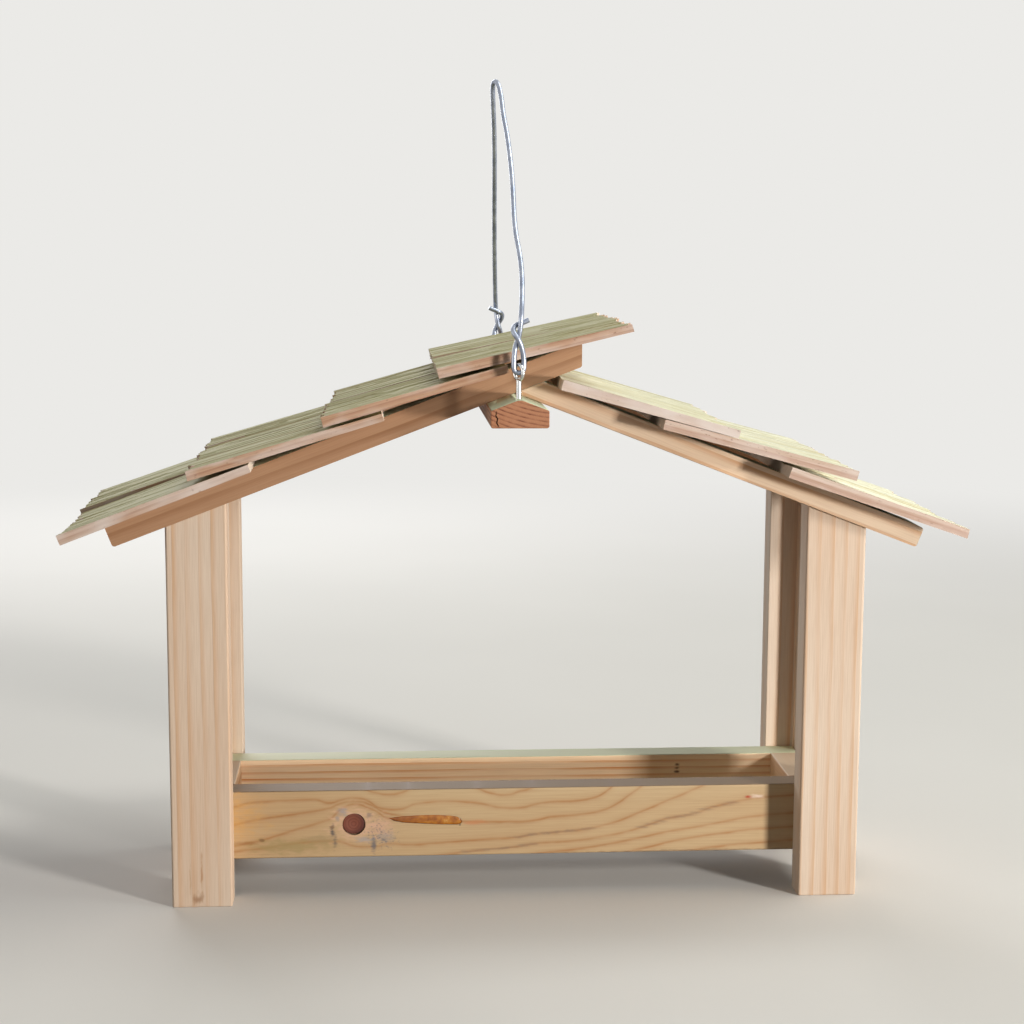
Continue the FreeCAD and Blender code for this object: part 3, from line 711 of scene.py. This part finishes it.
def ringed(rows):
    """Closed skin over a row of rings of points, in mm, with a face at each end."""
    form = bmesh.new()
    loops = [[form.verts.new(Vector(p) * MM) for p in row] for row in rows]
    count = len(loops[0])
    for near, far in zip(loops, loops[1:]):
        for k in range(count):
            form.faces.new((near[k], near[(k + 1) % count], far[(k + 1) % count], far[k]))
    for loop in (loops[0], loops[-1]):
        form.faces.new(loop)
    bmesh.ops.recalc_face_normals(form, faces=form.faces)
    mesh = bpy.data.meshes.new("ringed")
    form.to_mesh(mesh)
    form.free()
    mesh.shade_smooth()
    mesh.set_sharp_from_angle(angle=CORNER)
    return mesh


knot_rows = []
for depth, share in KNOT_STEPS:
    row = [knot_point(share * KNOT_RADIUS, a) for a in around(40)]
    knot_rows.append([(KNOT_X + x, FRONT_Y + depth, KNOT_Z + z) for x, z in row])
put("front_rail_knot", ringed(knot_rows), knot_wood, "house", "rail_pine")

resin_rows = []
for i, (x, high, low) in enumerate(POCKET):
    middle, half = (high + low) / 2, (high - low) / 2 - RESIN_GAP
    depth = FRONT_Y + RESIN_DEPTH + RESIN_WAVES * math.sin(2.3 * i)
    resin_rows.append([(x, depth - RESIN_SWELL * math.sin(a), middle + half * math.cos(a))
                       for a in around(16)])
put("front_rail_resin", ringed(resin_rows), resin, "house", "rail_pine")
print("knot and resin made")

# %% [markdown]
# ## Rafters and ridge beam
#
# The left rafters are a darker stick than the right ones. The right ones' pale tone is partly painted
# light as well, raised for the shade that the shingles' overhang throws on them. Their grain runs down
# the slope, so the board axes are turned by the pitch of the roof. The beam's grain runs from front to
# back, which puts the rings on its sawn ends, and its front end has opened in a short drying check.

# %% Make the roof frame
PITCH = math.radians(21)
# The right rafters' pale tone is partly painted light, raised for the shade under the eaves
RAFTER_TONES = {"left": ("AC8767", "8C6340"), "right": ("FAE2C6", "DBA671")}
RAFTER_EASE, BEAM_EASE = 0.8, 0.5
# The drying check's outline on the beam's front end, and its depth
CHECK = ((-18.4, 320.4), (-17.9, 319.4), (-18.2, 317.6), (-17.0, 315.7), (-17.7, 313.6), (-16.5, 311.2),
         (-17.0, 311.0), (-18.5, 313.3), (-17.8, 315.6), (-18.9, 317.4))
CHECK_DEPTH = 9.0

for side, (pale, late) in RAFTER_TONES.items():
    rise = math.sin(PITCH) * (1 if side == "left" else -1)
    slope = (math.cos(PITCH), 0, rise)
    wood = pine("planed pine, %s rafters" % side, pale, late, rings(9.0, (30.0, -70.0), 5.0))
    for i, end in enumerate(("front", "back")):
        node = "%s_%s_rafter" % (end, side)
        mesh = eased_copy(node, RAFTER_EASE)
        lay_grain(mesh, slope, (-rise, 0, math.cos(PITCH)), (500 * i, 7 * i - 300, 100 * i))
        put(node + "_wood", mesh, wood, "house", "rafter_pine", node)
beam_pine = pine("planed pine, ridge beam", "C09678", "774228", rings(2.6, (-25.5, 422.0), 1.0))
beam_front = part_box("ridge_beam")[0].y / MM
mesh = carved(eased_copy("ridge_beam", BEAM_EASE), [cutter(CHECK, beam_front, CHECK_DEPTH)])
lay_grain(mesh, (0, 1, 0), (1, 0, 0), (0, 0, 0))
put("ridge_beam_wood", mesh, beam_pine, "house", "beam_pine", "ridge_beam")
print("roof frame made")

# %% [markdown]
# ## Riven pine
#
# A shingle is split off a block along its fibres, so its top is a bundle of long torn ridges. Sun and
# rain have turned the old boards khaki and left the newer ones pale. The split edges and the ends
# kept the pinkish colour of the wood. One material serves all of them: it reads how weathered and how
# rubbed a board is from values on its faces, and picks the top or the edge by the way a face looks.

# %% The weathered top
riven_pine, tree = new_material("riven pine, weathered")
grain = add(tree, "ShaderNodeAttribute", attribute_name="grain").outputs["Vector"]
tone = add(tree, "ShaderNodeAttribute", attribute_name="tone").outputs["Fac"]
torn = add(tree, "ShaderNodeAttribute", attribute_name="torn").outputs["Fac"]
streaks = drawn_out(tree, grain, (166.67, 7.6923, 16.667), 3.0)
khaki = add(tree, "ShaderNodeValToRGB", {"Fac": streaks},
            stops=[(0.3, "918757"), (0.42, "9F9868"), (0.55, "A9A476"), (0.7, "B3AF84")])
pale = add(tree, "ShaderNodeValToRGB", {"Fac": streaks},
           stops=[(0.3, "C9BF99"), (0.42, "DCDABD"), (0.55, "E5E5CF"), (0.7, "ECECDA")])
weathered = add(tree, "ShaderNodeMix", {FACTOR: tone, UNDER: pale, OVER: khaki}, **COLOURS)
threads = drawn_out(tree, grain, (33.333, 0.76923, 0.76923), 3.0)
shade = add(tree, "ShaderNodeValToRGB", {"Fac": threads}, stops=[(0.32, "DDD5BC"), (0.55, "FFFFFF")])
fibred = add(tree, "ShaderNodeMix", {FACTOR: 0.45, UNDER: weathered, OVER: shade}, **TINTED)
# Painted shade darkens the torn hollows
hollow_shade = add(tree, "ShaderNodeValToRGB", {"Fac": torn},
           stops=[(0.5, "FFFFFF"), (0.8, "F0E8D0"), (1.0, "C2B38C")])
top_colour = add(tree, "ShaderNodeMix", {FACTOR: 1.0, UNDER: fibred, OVER: hollow_shade}, **TINTED)
print("riven top:", len(tree.nodes), "nodes")

# %% The split edges and the ends
EDGE_RING = 3.2
edge_at = add(tree, "ShaderNodeMapping", {"Vector": grain, "Scale": (0.1, 1, 1),
                                          "Location": Vector((0, 40, 30)) * MM})
edge_rings = add(tree, "ShaderNodeTexWave",
                 {"Vector": edge_at, "Scale": WAVE_TURN / (EDGE_RING * MM), "Distortion": 2.0,
                  "Detail": 2.0, "Detail Scale": 0.5},
                 wave_type="RINGS", rings_direction="X", wave_profile="SAW").outputs["Fac"]
edge = add(tree, "ShaderNodeValToRGB", {"Fac": edge_rings},
           stops=[(0.0, "CFB9AB"), (0.5, "C9AF9F"), (0.92, "B89888"), (1.0, "CCB4A5")])
age = add(tree, "ShaderNodeMix", {FACTOR: tone, UNDER: linear("FFFFFF"), OVER: linear("E8D3BE")},
          **COLOURS)
aged_edge = add(tree, "ShaderNodeMix", {FACTOR: 1.0, UNDER: edge, OVER: age}, **TINTED)
fibred_edge = add(tree, "ShaderNodeMix", {FACTOR: 0.6, UNDER: aged_edge, OVER: shade}, **TINTED)
# Some edges are rubbed nearly white, in patches
rubbed = add(tree, "ShaderNodeAttribute", attribute_name="rubbed").outputs["Fac"]
patchy = drawn_out(tree, grain, (35.714, 8.3333, 8.3333), 2.0)
whitened = add(tree, "ShaderNodeMath", {0: rubbed, 1: 0.4, 2: patchy}, operation="MULTIPLY_ADD")
pale_by = add(tree, "ShaderNodeMapRange",
              {"Value": whitened, "From Min": 0.6, "From Max": 0.95, "To Max": 0.85})
rubbed_edge = add(tree, "ShaderNodeMix", {FACTOR: pale_by, UNDER: fibred_edge, OVER: linear("DACEC6")},
                  **COLOURS)
# Small dark pits
pits = drawn_out(tree, grain, (3.84615, 1.42857, 1.42857), 2.0)
pitted = add(tree, "ShaderNodeMapRange", {"Value": pits, "From Min": 0.66, "From Max": 0.8, "To Max": 0.7})
edge_colour = add(tree, "ShaderNodeMix", {FACTOR: pitted, UNDER: rubbed_edge, OVER: linear("6E4330")},
                  **COLOURS)
# Fibres broken at the ends are pale
cut = add(tree, "ShaderNodeAttribute", attribute_name="end_grain").outputs["Fac"]
fresh = add(tree, "ShaderNodeMath", {0: cut, 1: 0.7}, operation="MULTIPLY")
side_colour = add(tree, "ShaderNodeMix", {FACTOR: fresh, UNDER: edge_colour, OVER: linear("E3D8C6")},
                  **COLOURS)
upper = add(tree, "ShaderNodeAttribute", attribute_name="upper").outputs["Fac"]
wood = add(tree, "ShaderNodeMix", {FACTOR: upper, UNDER: side_colour, OVER: top_colour}, **COLOURS)
nap = add(tree, "ShaderNodeBump", {"Height": threads, "Distance": 0.15 * MM, "Strength": 0.5})
rough = add(tree, "ShaderNodeMapRange", {"Value": threads, "To Min": 0.7, "To Max": 0.85})
shader = add(tree, "ShaderNodeBsdfPrincipled", {"Base Color": wood, "Roughness": rough, "IOR": WOOD_IOR,
                                                "Normal": nap})
add(tree, "ShaderNodeOutputMaterial", {"Surface": shader})
print("riven pine:", len(tree.nodes), "nodes")

# %% [markdown]
# ## Riven shingles
#
# Sculpting fourteen torn boards by hand would be slow, and one texture on flat boards would not show
# the teeth at their ends. The shape follows a rule, so a Geometry Nodes tree makes it: a fine grid is
# raised to a tapering thickness, its top sinks in terraces that run with the fibres, its ends are
# frayed, and a few splinters stick out of the cut. The tree's inputs are a board's sizes, how deep it
# is torn and frayed, and a seed.

# %% The shingle tree and its torn top
SHINGLE_INPUTS = ("Length", "Width", "Butt", "Head", "Tear", "Foot Fray", "Head Fray", "Seed")
COLUMNS, ROWS = 49, 161
# Waves to the metre along and across the board, and the step that their height is rounded to:
# terraces about 30 mm wide that wander over 300 mm, and ridges about 16 mm wide on them
TERRACES, RIDGES = (3.0, 34.0, 0.1), (7.0, 60.0, 0.2)
# Fibres about 1 mm apart, drawn 0.1 mm deep
FIBRES, NAP = (35.0, 900.0), 0.1
# Within these distances of the long edges, in mm, the split ran true and the ends are sound
TRUE_SPLIT, SOUND_END = 18.0, 16.0


def new_tree(name, inputs, output):
    """An empty Geometry Nodes tree with a number for each input, and those inputs' identifiers."""
    tree = bpy.data.node_groups.new(name, "GeometryNodeTree")
    sockets = {each: tree.interface.new_socket(each, in_out="INPUT",
                                               socket_type="NodeSocketFloat").identifier
               for each in inputs}
    tree.interface.new_socket(output, in_out="OUTPUT", socket_type="NodeSocketGeometry")
    return tree, sockets


def along_fibres(place, seed, waves):
    """Noise with so many waves to the metre along and across the board."""
    along = add(shingle_tree, "ShaderNodeMath", {0: place["X"], 1: waves[0]}, operation="MULTIPLY")
    across = add(shingle_tree, "ShaderNodeMath", {0: place["Y"], 1: waves[1]}, operation="MULTIPLY")
    at = add(shingle_tree, "ShaderNodeCombineXYZ", {0: along, 1: across, 2: seed})
    return add(shingle_tree, "ShaderNodeTexNoise", {"Vector": at, "Scale": 1.0, "Detail": 1.0})


shingle_tree, shingle_sockets = new_tree("riven shingle", SHINGLE_INPUTS, "Board")
tree = shingle_tree
given = add(tree, "NodeGroupInput").outputs
grid = add(tree, "GeometryNodeMeshGrid", {"Size X": given["Length"], "Size Y": given["Width"],
                                          "Vertices X": COLUMNS, "Vertices Y": ROWS})
place = add(tree, "ShaderNodeSeparateXYZ", {0: add(tree, "GeometryNodeInputPosition")}).outputs
half = add(tree, "ShaderNodeMath", {0: given["Length"], 1: 0.5}, operation="MULTIPLY")
minus = add(tree, "ShaderNodeMath", {0: half, 1: -1.0}, operation="MULTIPLY")
taper = add(tree, "ShaderNodeMapRange", {"Value": place["X"], "From Min": minus, "From Max": half,
                                         "To Min": given["Butt"], "To Max": given["Head"]})
terrace, ridge = [add(tree, "ShaderNodeMath", {0: along_fibres(place, given["Seed"], waves), 1: waves[2]},
                      operation="SNAP") for waves in (TERRACES, RIDGES)]
height = add(tree, "ShaderNodeMix", {0: 0.35, 2: terrace, 3: ridge})
depth = add(tree, "ShaderNodeMapRange", {"Value": height, "From Min": 0.22, "From Max": 0.58,
                                         "To Min": 1.0, "To Max": 0.0})
off_middle = add(tree, "ShaderNodeMath", {0: place["Y"]}, operation="ABSOLUTE")
beside = add(tree, "ShaderNodeMath", {0: off_middle, 1: 2.0}, operation="MULTIPLY")
inset = add(tree, "ShaderNodeMath", {0: given["Width"], 1: beside}, operation="SUBTRACT")
ragged = add(tree, "ShaderNodeMapRange", {"Value": inset, "From Max": TRUE_SPLIT * MM, "To Min": 0.25})
tear = add(tree, "ShaderNodeMath", {0: given["Tear"], 1: ragged}, operation="MULTIPLY")
sunk = add(tree, "ShaderNodeMath", {0: depth, 1: tear}, operation="MULTIPLY")
fibre = along_fibres(place, given["Seed"], FIBRES)
drawn = add(tree, "ShaderNodeMath", {0: fibre, 1: NAP * MM}, operation="MULTIPLY")
lost = add(tree, "ShaderNodeMath", {0: sunk, 1: drawn}, operation="ADD")
top = add(tree, "ShaderNodeMath", {0: taper, 1: lost}, operation="SUBTRACT")
raised = add(tree, "GeometryNodeExtrudeMesh", {"Mesh": grid, "Offset Scale": MM, "Individual": False})
at_top = add(tree, "ShaderNodeCombineXYZ", {0: place["X"], 1: place["Y"], 2: top})
shaped = add(tree, "GeometryNodeSetPosition", {"Geometry": raised.outputs["Mesh"],
                                               "Selection": raised.outputs["Top"], "Position": at_top})
marked = add(tree, "GeometryNodeStoreNamedAttribute",
             {"Geometry": shaped, "Name": "torn", "Value": depth}, data_type="FLOAT", domain="POINT")
under = add(tree, "GeometryNodeFlipFaces", {"Mesh": grid})
both = add(tree, "GeometryNodeJoinGeometry", {0: [marked, under]})
closed = add(tree, "GeometryNodeMergeByDistance", {"Geometry": both, "Distance": MERGE * MM})
print("torn top:", len(tree.nodes), "nodes")

# %% Frayed ends
# Bundles about 8 mm wide break off in steps, with fibres about 2 mm wide in them, in waves to the metre
BUNDLES, LOOSE_FIBRES = (0, 130, 70), (0, 480, 160)
BREAK_STEP, BUNDLE_SHARE, BREAK_MIDDLE = 0.12, 5.0, 3.4

frays = []
for waves in (BUNDLES, LOOSE_FIBRES):
    spread = add(tree, "ShaderNodeVectorMath", {0: add(tree, "GeometryNodeInputPosition"), 1: waves},
                 operation="MULTIPLY")
    frays.append(add(tree, "ShaderNodeTexNoise", {"Vector": spread, "W": given["Seed"], "Scale": 1.0},
                     noise_dimensions="4D"))
broken = add(tree, "ShaderNodeMath", {0: frays[0], 1: BREAK_STEP}, operation="SNAP")
fray = add(tree, "ShaderNodeMath", {0: broken, 1: BUNDLE_SHARE, 2: frays[1]}, operation="MULTIPLY_ADD")
out = add(tree, "ShaderNodeMath", {0: fray, 1: BREAK_MIDDLE}, operation="SUBTRACT")
loose = add(tree, "ShaderNodeMapRange", {"Value": place["X"], "From Min": minus, "From Max": half,
                                         "To Min": given["Foot Fray"], "To Max": given["Head Fray"]})
sound = add(tree, "ShaderNodeMapRange", {"Value": inset, "From Max": SOUND_END * MM, "To Min": 0.25})
most = add(tree, "ShaderNodeMath", {0: loose, 1: sound}, operation="MULTIPLY")
side = add(tree, "ShaderNodeMath", {0: place["X"]}, operation="SIGN")
from_middle = add(tree, "ShaderNodeMath", {0: place["X"]}, operation="ABSOLUTE")
reach = add(tree, "ShaderNodeMath", {0: from_middle, 1: half}, operation="SUBTRACT")
at_end = add(tree, "ShaderNodeMath", {0: reach, 1: -0.1 * MM}, operation="GREATER_THAN")
outward = add(tree, "ShaderNodeMath", {0: side, 1: out}, operation="MULTIPLY")
pull = add(tree, "ShaderNodeMath", {0: outward, 1: most}, operation="MULTIPLY")
moved = add(tree, "ShaderNodeCombineXYZ", {0: pull})
frayed = add(tree, "GeometryNodeSetPosition", {"Geometry": closed, "Selection": at_end, "Offset": moved})
print("frayed ends:", len(tree.nodes), "nodes")

# %% Splinters
# Thin wedges that stand out of the cut ends, so many to the square metre
SPLINTERS = 4500.0
SPLINTER_LONG, SPLINTER_FOOT, SPLINTER_TIP = 2.0, 0.35, 0.05
SPLINTER_SIZES = (0.4, 1.2)
# How far a splinter leans and turns about, in radians
LEAN = (0.35, 0.35, 3.0)

facing = add(tree, "ShaderNodeSeparateXYZ", {0: add(tree, "GeometryNodeInputNormal")}).outputs["X"]
endwise = add(tree, "ShaderNodeMath", {0: facing}, operation="ABSOLUTE")
end_face = add(tree, "ShaderNodeMath", {0: endwise, 1: 0.75}, operation="GREATER_THAN")
seed = add(tree, "FunctionNodeFloatToInt", {0: given["Seed"]})
spots = add(tree, "GeometryNodeDistributePointsOnFaces",
            {"Mesh": frayed, "Selection": end_face, "Density": SPLINTERS, "Seed": seed}).outputs
wedge = add(tree, "GeometryNodeMeshCone",
            {"Vertices": 4, "Radius Top": SPLINTER_TIP * MM, "Radius Bottom": SPLINTER_FOOT * MM,
             "Depth": SPLINTER_LONG * MM})
lean = add(tree, "FunctionNodeRandomValue", {0: tuple(-angle for angle in LEAN), 1: LEAN},
           data_type="FLOAT_VECTOR")
leant = add(tree, "FunctionNodeEulerToRotation", {0: lean})
turned = add(tree, "FunctionNodeRotateRotation", {"Rotation": spots["Rotation"], "Rotate By": leant},
             rotation_space="LOCAL")
size = add(tree, "FunctionNodeRandomValue", {2: SPLINTER_SIZES[0], 3: SPLINTER_SIZES[1]})
splinters = add(tree, "GeometryNodeInstanceOnPoints",
                {"Points": spots["Points"], "Instance": wedge.outputs["Mesh"], "Rotation": turned,
                 "Scale": size.outputs[1]})
whole = add(tree, "GeometryNodeJoinGeometry", {0: [frayed, splinters]})
real = add(tree, "GeometryNodeRealizeInstances", {0: whole})
add(tree, "NodeGroupOutput", {0: add(tree, "GeometryNodeSetMaterial", {0: real, "Material": riven_pine})})
print("shingle tree:", len(tree.nodes), "nodes")

# %% [markdown]
# Where each shingle lies, and how long, wide and thick it is, could be typed in again. It is safer
# to read it from the CAD shingle: its foot is the lowest point, and the flattest line from there
# along its underside is the way up the slope.

# %% Split the shingles and lay them
TEAR = 1.7
# Points this near to a plane of the board, in mm, are on it
ON_PLANE = 0.05
# For each row: how weathered, how far its edges are rubbed pale, and the fray of its foot and its head
ROW_LOOKS = {"left_shingle_1": (0.85, 0.6, 3.0, 0.3), "left_shingle_2": (0.95, 0.5, 2.8, 0.3),
             "left_shingle_3": (1.0, 0.3, 2.2, 0.3), "left_shingle_4": (0.9, 0.4, 0.6, 3.4),
             "right_shingle_1": (0.0, 0.3, 3.2, 0.3), "right_shingle_2": (0.1, 0.4, 3.2, 0.3),
             "right_shingle_3": (0.25, 0.9, 3.2, 0.3)}


def grown(tree, inputs):
    """Runs a tree on an empty object and gives back the plain mesh."""
    seedling = bpy.data.objects.new("seedling", bpy.data.meshes.new("seedling"))
    scene.collection.objects.link(seedling)
    modifier = seedling.modifiers.new("grow", "NODES")
    modifier.node_group = tree
    for identifier, value in inputs.items():
        modifier[identifier] = value
    mesh = evaluated(seedling)
    bpy.data.objects.remove(seedling)
    return mesh


def shingle_seat(node):
    """Reads from the CAD shingle where it lies and how long, wide and thick it is."""
    points = np.array([v.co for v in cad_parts[node].data.vertices])
    foot = points[points[:, 2].argmin()]
    run = points[:, 0] - foot[0]
    far = np.abs(run) > 0.6 * np.abs(run).max()
    fall = ((points[:, 2] - foot[2]) / np.maximum(np.abs(run), 1e-9))[far].min()
    way = np.array((np.sign(run[far][0]), 0.0, fall))
    way /= np.linalg.norm(way)
    up = np.array((-way[2] * np.sign(way[0]), 0.0, abs(way[0])))
    along, over = (points - foot) @ way, (points - foot) @ up
    length = along[over < ON_PLANE * MM].max()
    butt = over[along < ON_PLANE * MM].max()
    head = over[along > length - ON_PLANE * MM].max()
    low, high = points[:, 1].min(), points[:, 1].max()
    origin = foot + way * length / 2
    origin[1] = (low + high) / 2
    return Vector(way), Vector(up), Vector(origin), (length, high - low, butt, head)


shingles = sorted(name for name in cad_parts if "_shingle_" in name)
for i, node in enumerate(shingles):
    way, up, origin, sizes = shingle_seat(node)
    tone, rubbed, *frays = ROW_LOOKS[node.rsplit("_", 1)[0]]
    values = (*sizes, TEAR * MM, *(fray * MM for fray in frays), 7.0 + 3 * i)
    inputs = {shingle_sockets[name]: float(value) for name, value in zip(SHINGLE_INPUTS, values)}
    mesh = grown(shingle_tree, inputs)
    lay_grain(mesh, (1, 0, 0), (0, 1, 0), (400 * i, 9 * (i % 5), 5 * (i % 3)))
    mark_faces(mesh, "tone", tone)
    mark_faces(mesh, "rubbed", rubbed)
    mesh.transform(Matrix((way, up.cross(way), up)).transposed().to_4x4())
    mesh.transform(Matrix.Translation(origin))
    put(node + "_riven", mesh, riven_pine, "house", "shingle_pine", node)
    print(node, "length %.1f width %.1f butt %.1f head %.1f mm" % tuple(size / MM for size in sizes))

# %% [markdown]
# ## The hanger
#
# One piece of stiff galvanised wire is bent over a hook at the top, twisted once round itself at each
# end and looped through the eyes. It holds its own shape, so it is no cord but a bent rod that swings
# as one piece. A NURBS curve through the bends of the frame's route, with a round bevel, gives the
# soft kinks of wire that was bent by hand. Zinc from a hot bath is a dull blue-grey metal with
# patches of slightly different shine.

# %% Galvanised wire
galvanised, tree = new_material("hot-dip galvanised steel")
zinc_at = add(tree, "ShaderNodeTexCoord").outputs["Object"]
# Spangles about 2.4 mm wide and drips about 6 mm apart
spangle = add(tree, "ShaderNodeTexVoronoi", {"Vector": zinc_at, "Scale": 420.0}).outputs["Color"]
bath = add(tree, "ShaderNodeTexNoise", {"Vector": zinc_at, "Scale": 160.0, "Detail": 3.0})
zinc_colour = add(tree, "ShaderNodeValToRGB", {"Fac": bath}, stops=[(0.3, "8A93A6"), (0.7, "B0B7C6")])
zinc_rough = add(tree, "ShaderNodeMapRange", {"Value": spangle, "To Min": 0.25, "To Max": 0.38})
drips = add(tree, "ShaderNodeBump", {"Height": bath, "Distance": 0.03 * MM, "Strength": 0.3})
# Its dull skin of oxide scatters some of the light, so it is not wholly metallic
shader = add(tree, "ShaderNodeBsdfPrincipled", {"Base Color": zinc_colour, "Metallic": 0.8,
                                                "Roughness": zinc_rough, "Normal": drips})
add(tree, "ShaderNodeOutputMaterial", {"Surface": shader})
print("wire:", galvanised.name)

# %% Bend the hanger
WIRE = 3.15
PIVOT = Vector((-4.0, -104.0, 346.9))
LOOP_RADIUS, LOOP_DROP, LOOP_LEAN = 3.2, 1.6, 0.15
# From the point that the front loop swings on
TAIL_AND_RIGHT_LEG = ((6.2, 4.1, 26.6), (1.6, 4.0, 24.6), (-2.0, 3.2, 23.4), (-3.6, 1.0, 21.2),
                      (-2.8, -1.2, 18.2), (-0.3, -1.8, 15.0), (1.7, -1.2, 10.5), (2.9, 0.4, 5.0))
LEFT_LEG_AND_STRAND = ((-2.9, -0.4, 5.0), (-2.1, 1.2, 10.5), (-0.2, 1.8, 15.2), (0.9, 0.5, 22.0),
                       (1.5, 0.0, 30.4))
# From the part's origin
FRONT_STRAND = ((-1.0, -90.0, 394.0), (-1.2, -79.0, 409.0), (-4.3, -65.0, 428.5), (-4.0, -46.0, 455.5),
                (-5.6, -27.5, 482.0), (-8.2, -14.5, 499.5), (-8.9, -7.5, 510.5))
TOP_BEND = ((-10.8, -2.2, 520.8), (-13.9, 3.4, 520.8))
BACK_STRAND = ((-13.2, 9.5, 509.0), (-11.0, 26.0, 484.0), (-8.6, 68.0, 424.5))


def eye_loop():
    """The half turn through the eye, about the point that it swings on."""
    corner = LOOP_RADIUS / math.cos(math.radians(22.5))
    for k in range(4):
        angle = math.radians(-22.5 - 45 * k)
        across = corner * math.cos(angle)
        yield across, LOOP_LEAN * across, corner * math.sin(angle) - LOOP_DROP


front_end = [PIVOT + Vector(p) for p in (*TAIL_AND_RIGHT_LEG, *eye_loop(), *LEFT_LEG_AND_STRAND)]
back_end = [Vector((2 * PIVOT.x - p.x, -p.y, p.z)) for p in reversed(front_end)]
route = front_end + [Vector(p) for p in FRONT_STRAND + TOP_BEND + BACK_STRAND] + back_end
curve = bpy.data.curves.new("hanger", "CURVE")
curve.dimensions = "3D"
spline = curve.splines.new("NURBS")
spline.points.add(len(route) - 1)
for point, place in zip(spline.points, route):
    point.co = (*(place * MM), 1)
spline.order_u = 3
spline.use_endpoint_u = True
spline.resolution_u = 8
curve.bevel_depth = WIRE / 2 * MM
curve.bevel_resolution = 6
curve.use_fill_caps = True
bender = bpy.data.objects.new("hanger", curve)
scene.collection.objects.link(bender)
wire_mesh = evaluated(bender)
bpy.data.objects.remove(bender)
wire_mesh.shade_smooth()
put("hanger_bent_wire", wire_mesh, galvanised, "hanger", "galvanised_wire", "hanger_wire")
print("hanger bends:", len(route))

# %% [markdown]
# ## Screw eyes and nails
#
# The eyes and nails keep their CAD shape, which is right, and get the finish of the real ones: bright
# zinc plating on the eyes, dull drawn steel on the nails. The eyes' thread is too fine for the frame.
# It follows a path, so a Geometry Nodes tree winds a small round section along a spiral.

# %% Plated and drawn steel
def clouded_steel(name, cloud, detail, tones, roughness):
    """Steel with clouds of this size in mm, between two tones and from smooth to rough."""
    material, tree = new_material(name)
    steel_at = add(tree, "ShaderNodeTexCoord").outputs["Object"]
    clouds = add(tree, "ShaderNodeTexNoise", {"Vector": steel_at, "Scale": 1 / (cloud * MM),
                                              "Detail": detail})
    colour = add(tree, "ShaderNodeValToRGB", {"Fac": clouds}, stops=[(0.3, tones[0]), (0.7, tones[1])])
    rough = add(tree, "ShaderNodeMapRange",
                {"Value": clouds, "To Min": roughness[0], "To Max": roughness[1]})
    shader = add(tree, "ShaderNodeBsdfPrincipled",
                 {"Base Color": colour, "Metallic": 1.0, "Roughness": rough})
    add(tree, "ShaderNodeOutputMaterial", {"Surface": shader})
    return material


plated = clouded_steel("bright zinc-plated steel", 2.0, 2.0, ("C4C6C7", "DEDFDF"), (0.16, 0.3))
drawn_steel = clouded_steel("drawn nail steel", 1.1111, 3.0, ("6F6E6B", "93928F"), (0.35, 0.55))
for name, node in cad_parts.items():
    if name.endswith("_screw_eye"):
        node.material_slots[0].material = plated
    if name.endswith("_nails"):
        node.material_slots[0].material = drawn_steel
print("steel:", plated.name, "and", drawn_steel.name)

# %% Wind the threads
THREAD = {"Radius": 1.65 * MM, "Height": 9.0 * MM, "Turns": 6.0, "Ridge": 0.32 * MM}
THREAD_START = 3.0

thread_tree, thread_sockets = new_tree("screw thread", THREAD, "Thread")
given = add(thread_tree, "NodeGroupInput").outputs
spiral = add(thread_tree, "GeometryNodeCurveSpiral",
             {"Resolution": 24, "Rotations": given["Turns"], "Start Radius": given["Radius"],
              "End Radius": given["Radius"], "Height": given["Height"]})
section = add(thread_tree, "GeometryNodeCurvePrimitiveCircle", {"Resolution": 6, "Radius": given["Ridge"]})
wound = add(thread_tree, "GeometryNodeCurveToMesh",
            {"Curve": spiral, "Profile Curve": section, "Fill Caps": True})
real = add(thread_tree, "GeometryNodeRealizeInstances", {0: wound})
add(thread_tree, "NodeGroupOutput", {0: add(thread_tree, "GeometryNodeSetMaterial",
                                            {0: real, "Material": plated})})
for end in ("front", "back"):
    low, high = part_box(end + "_screw_eye")
    mesh = grown(thread_tree, {thread_sockets[name]: value for name, value in THREAD.items()})
    mesh.transform(Matrix.Translation(((low.x + high.x) / 2, (low.y + high.y) / 2,
                                       low.z + THREAD_START * MM)))
    mesh.shade_smooth()
    put(end + "_screw_eye_thread", mesh, plated, "house", "zinc_steel")
print("threads: 2")
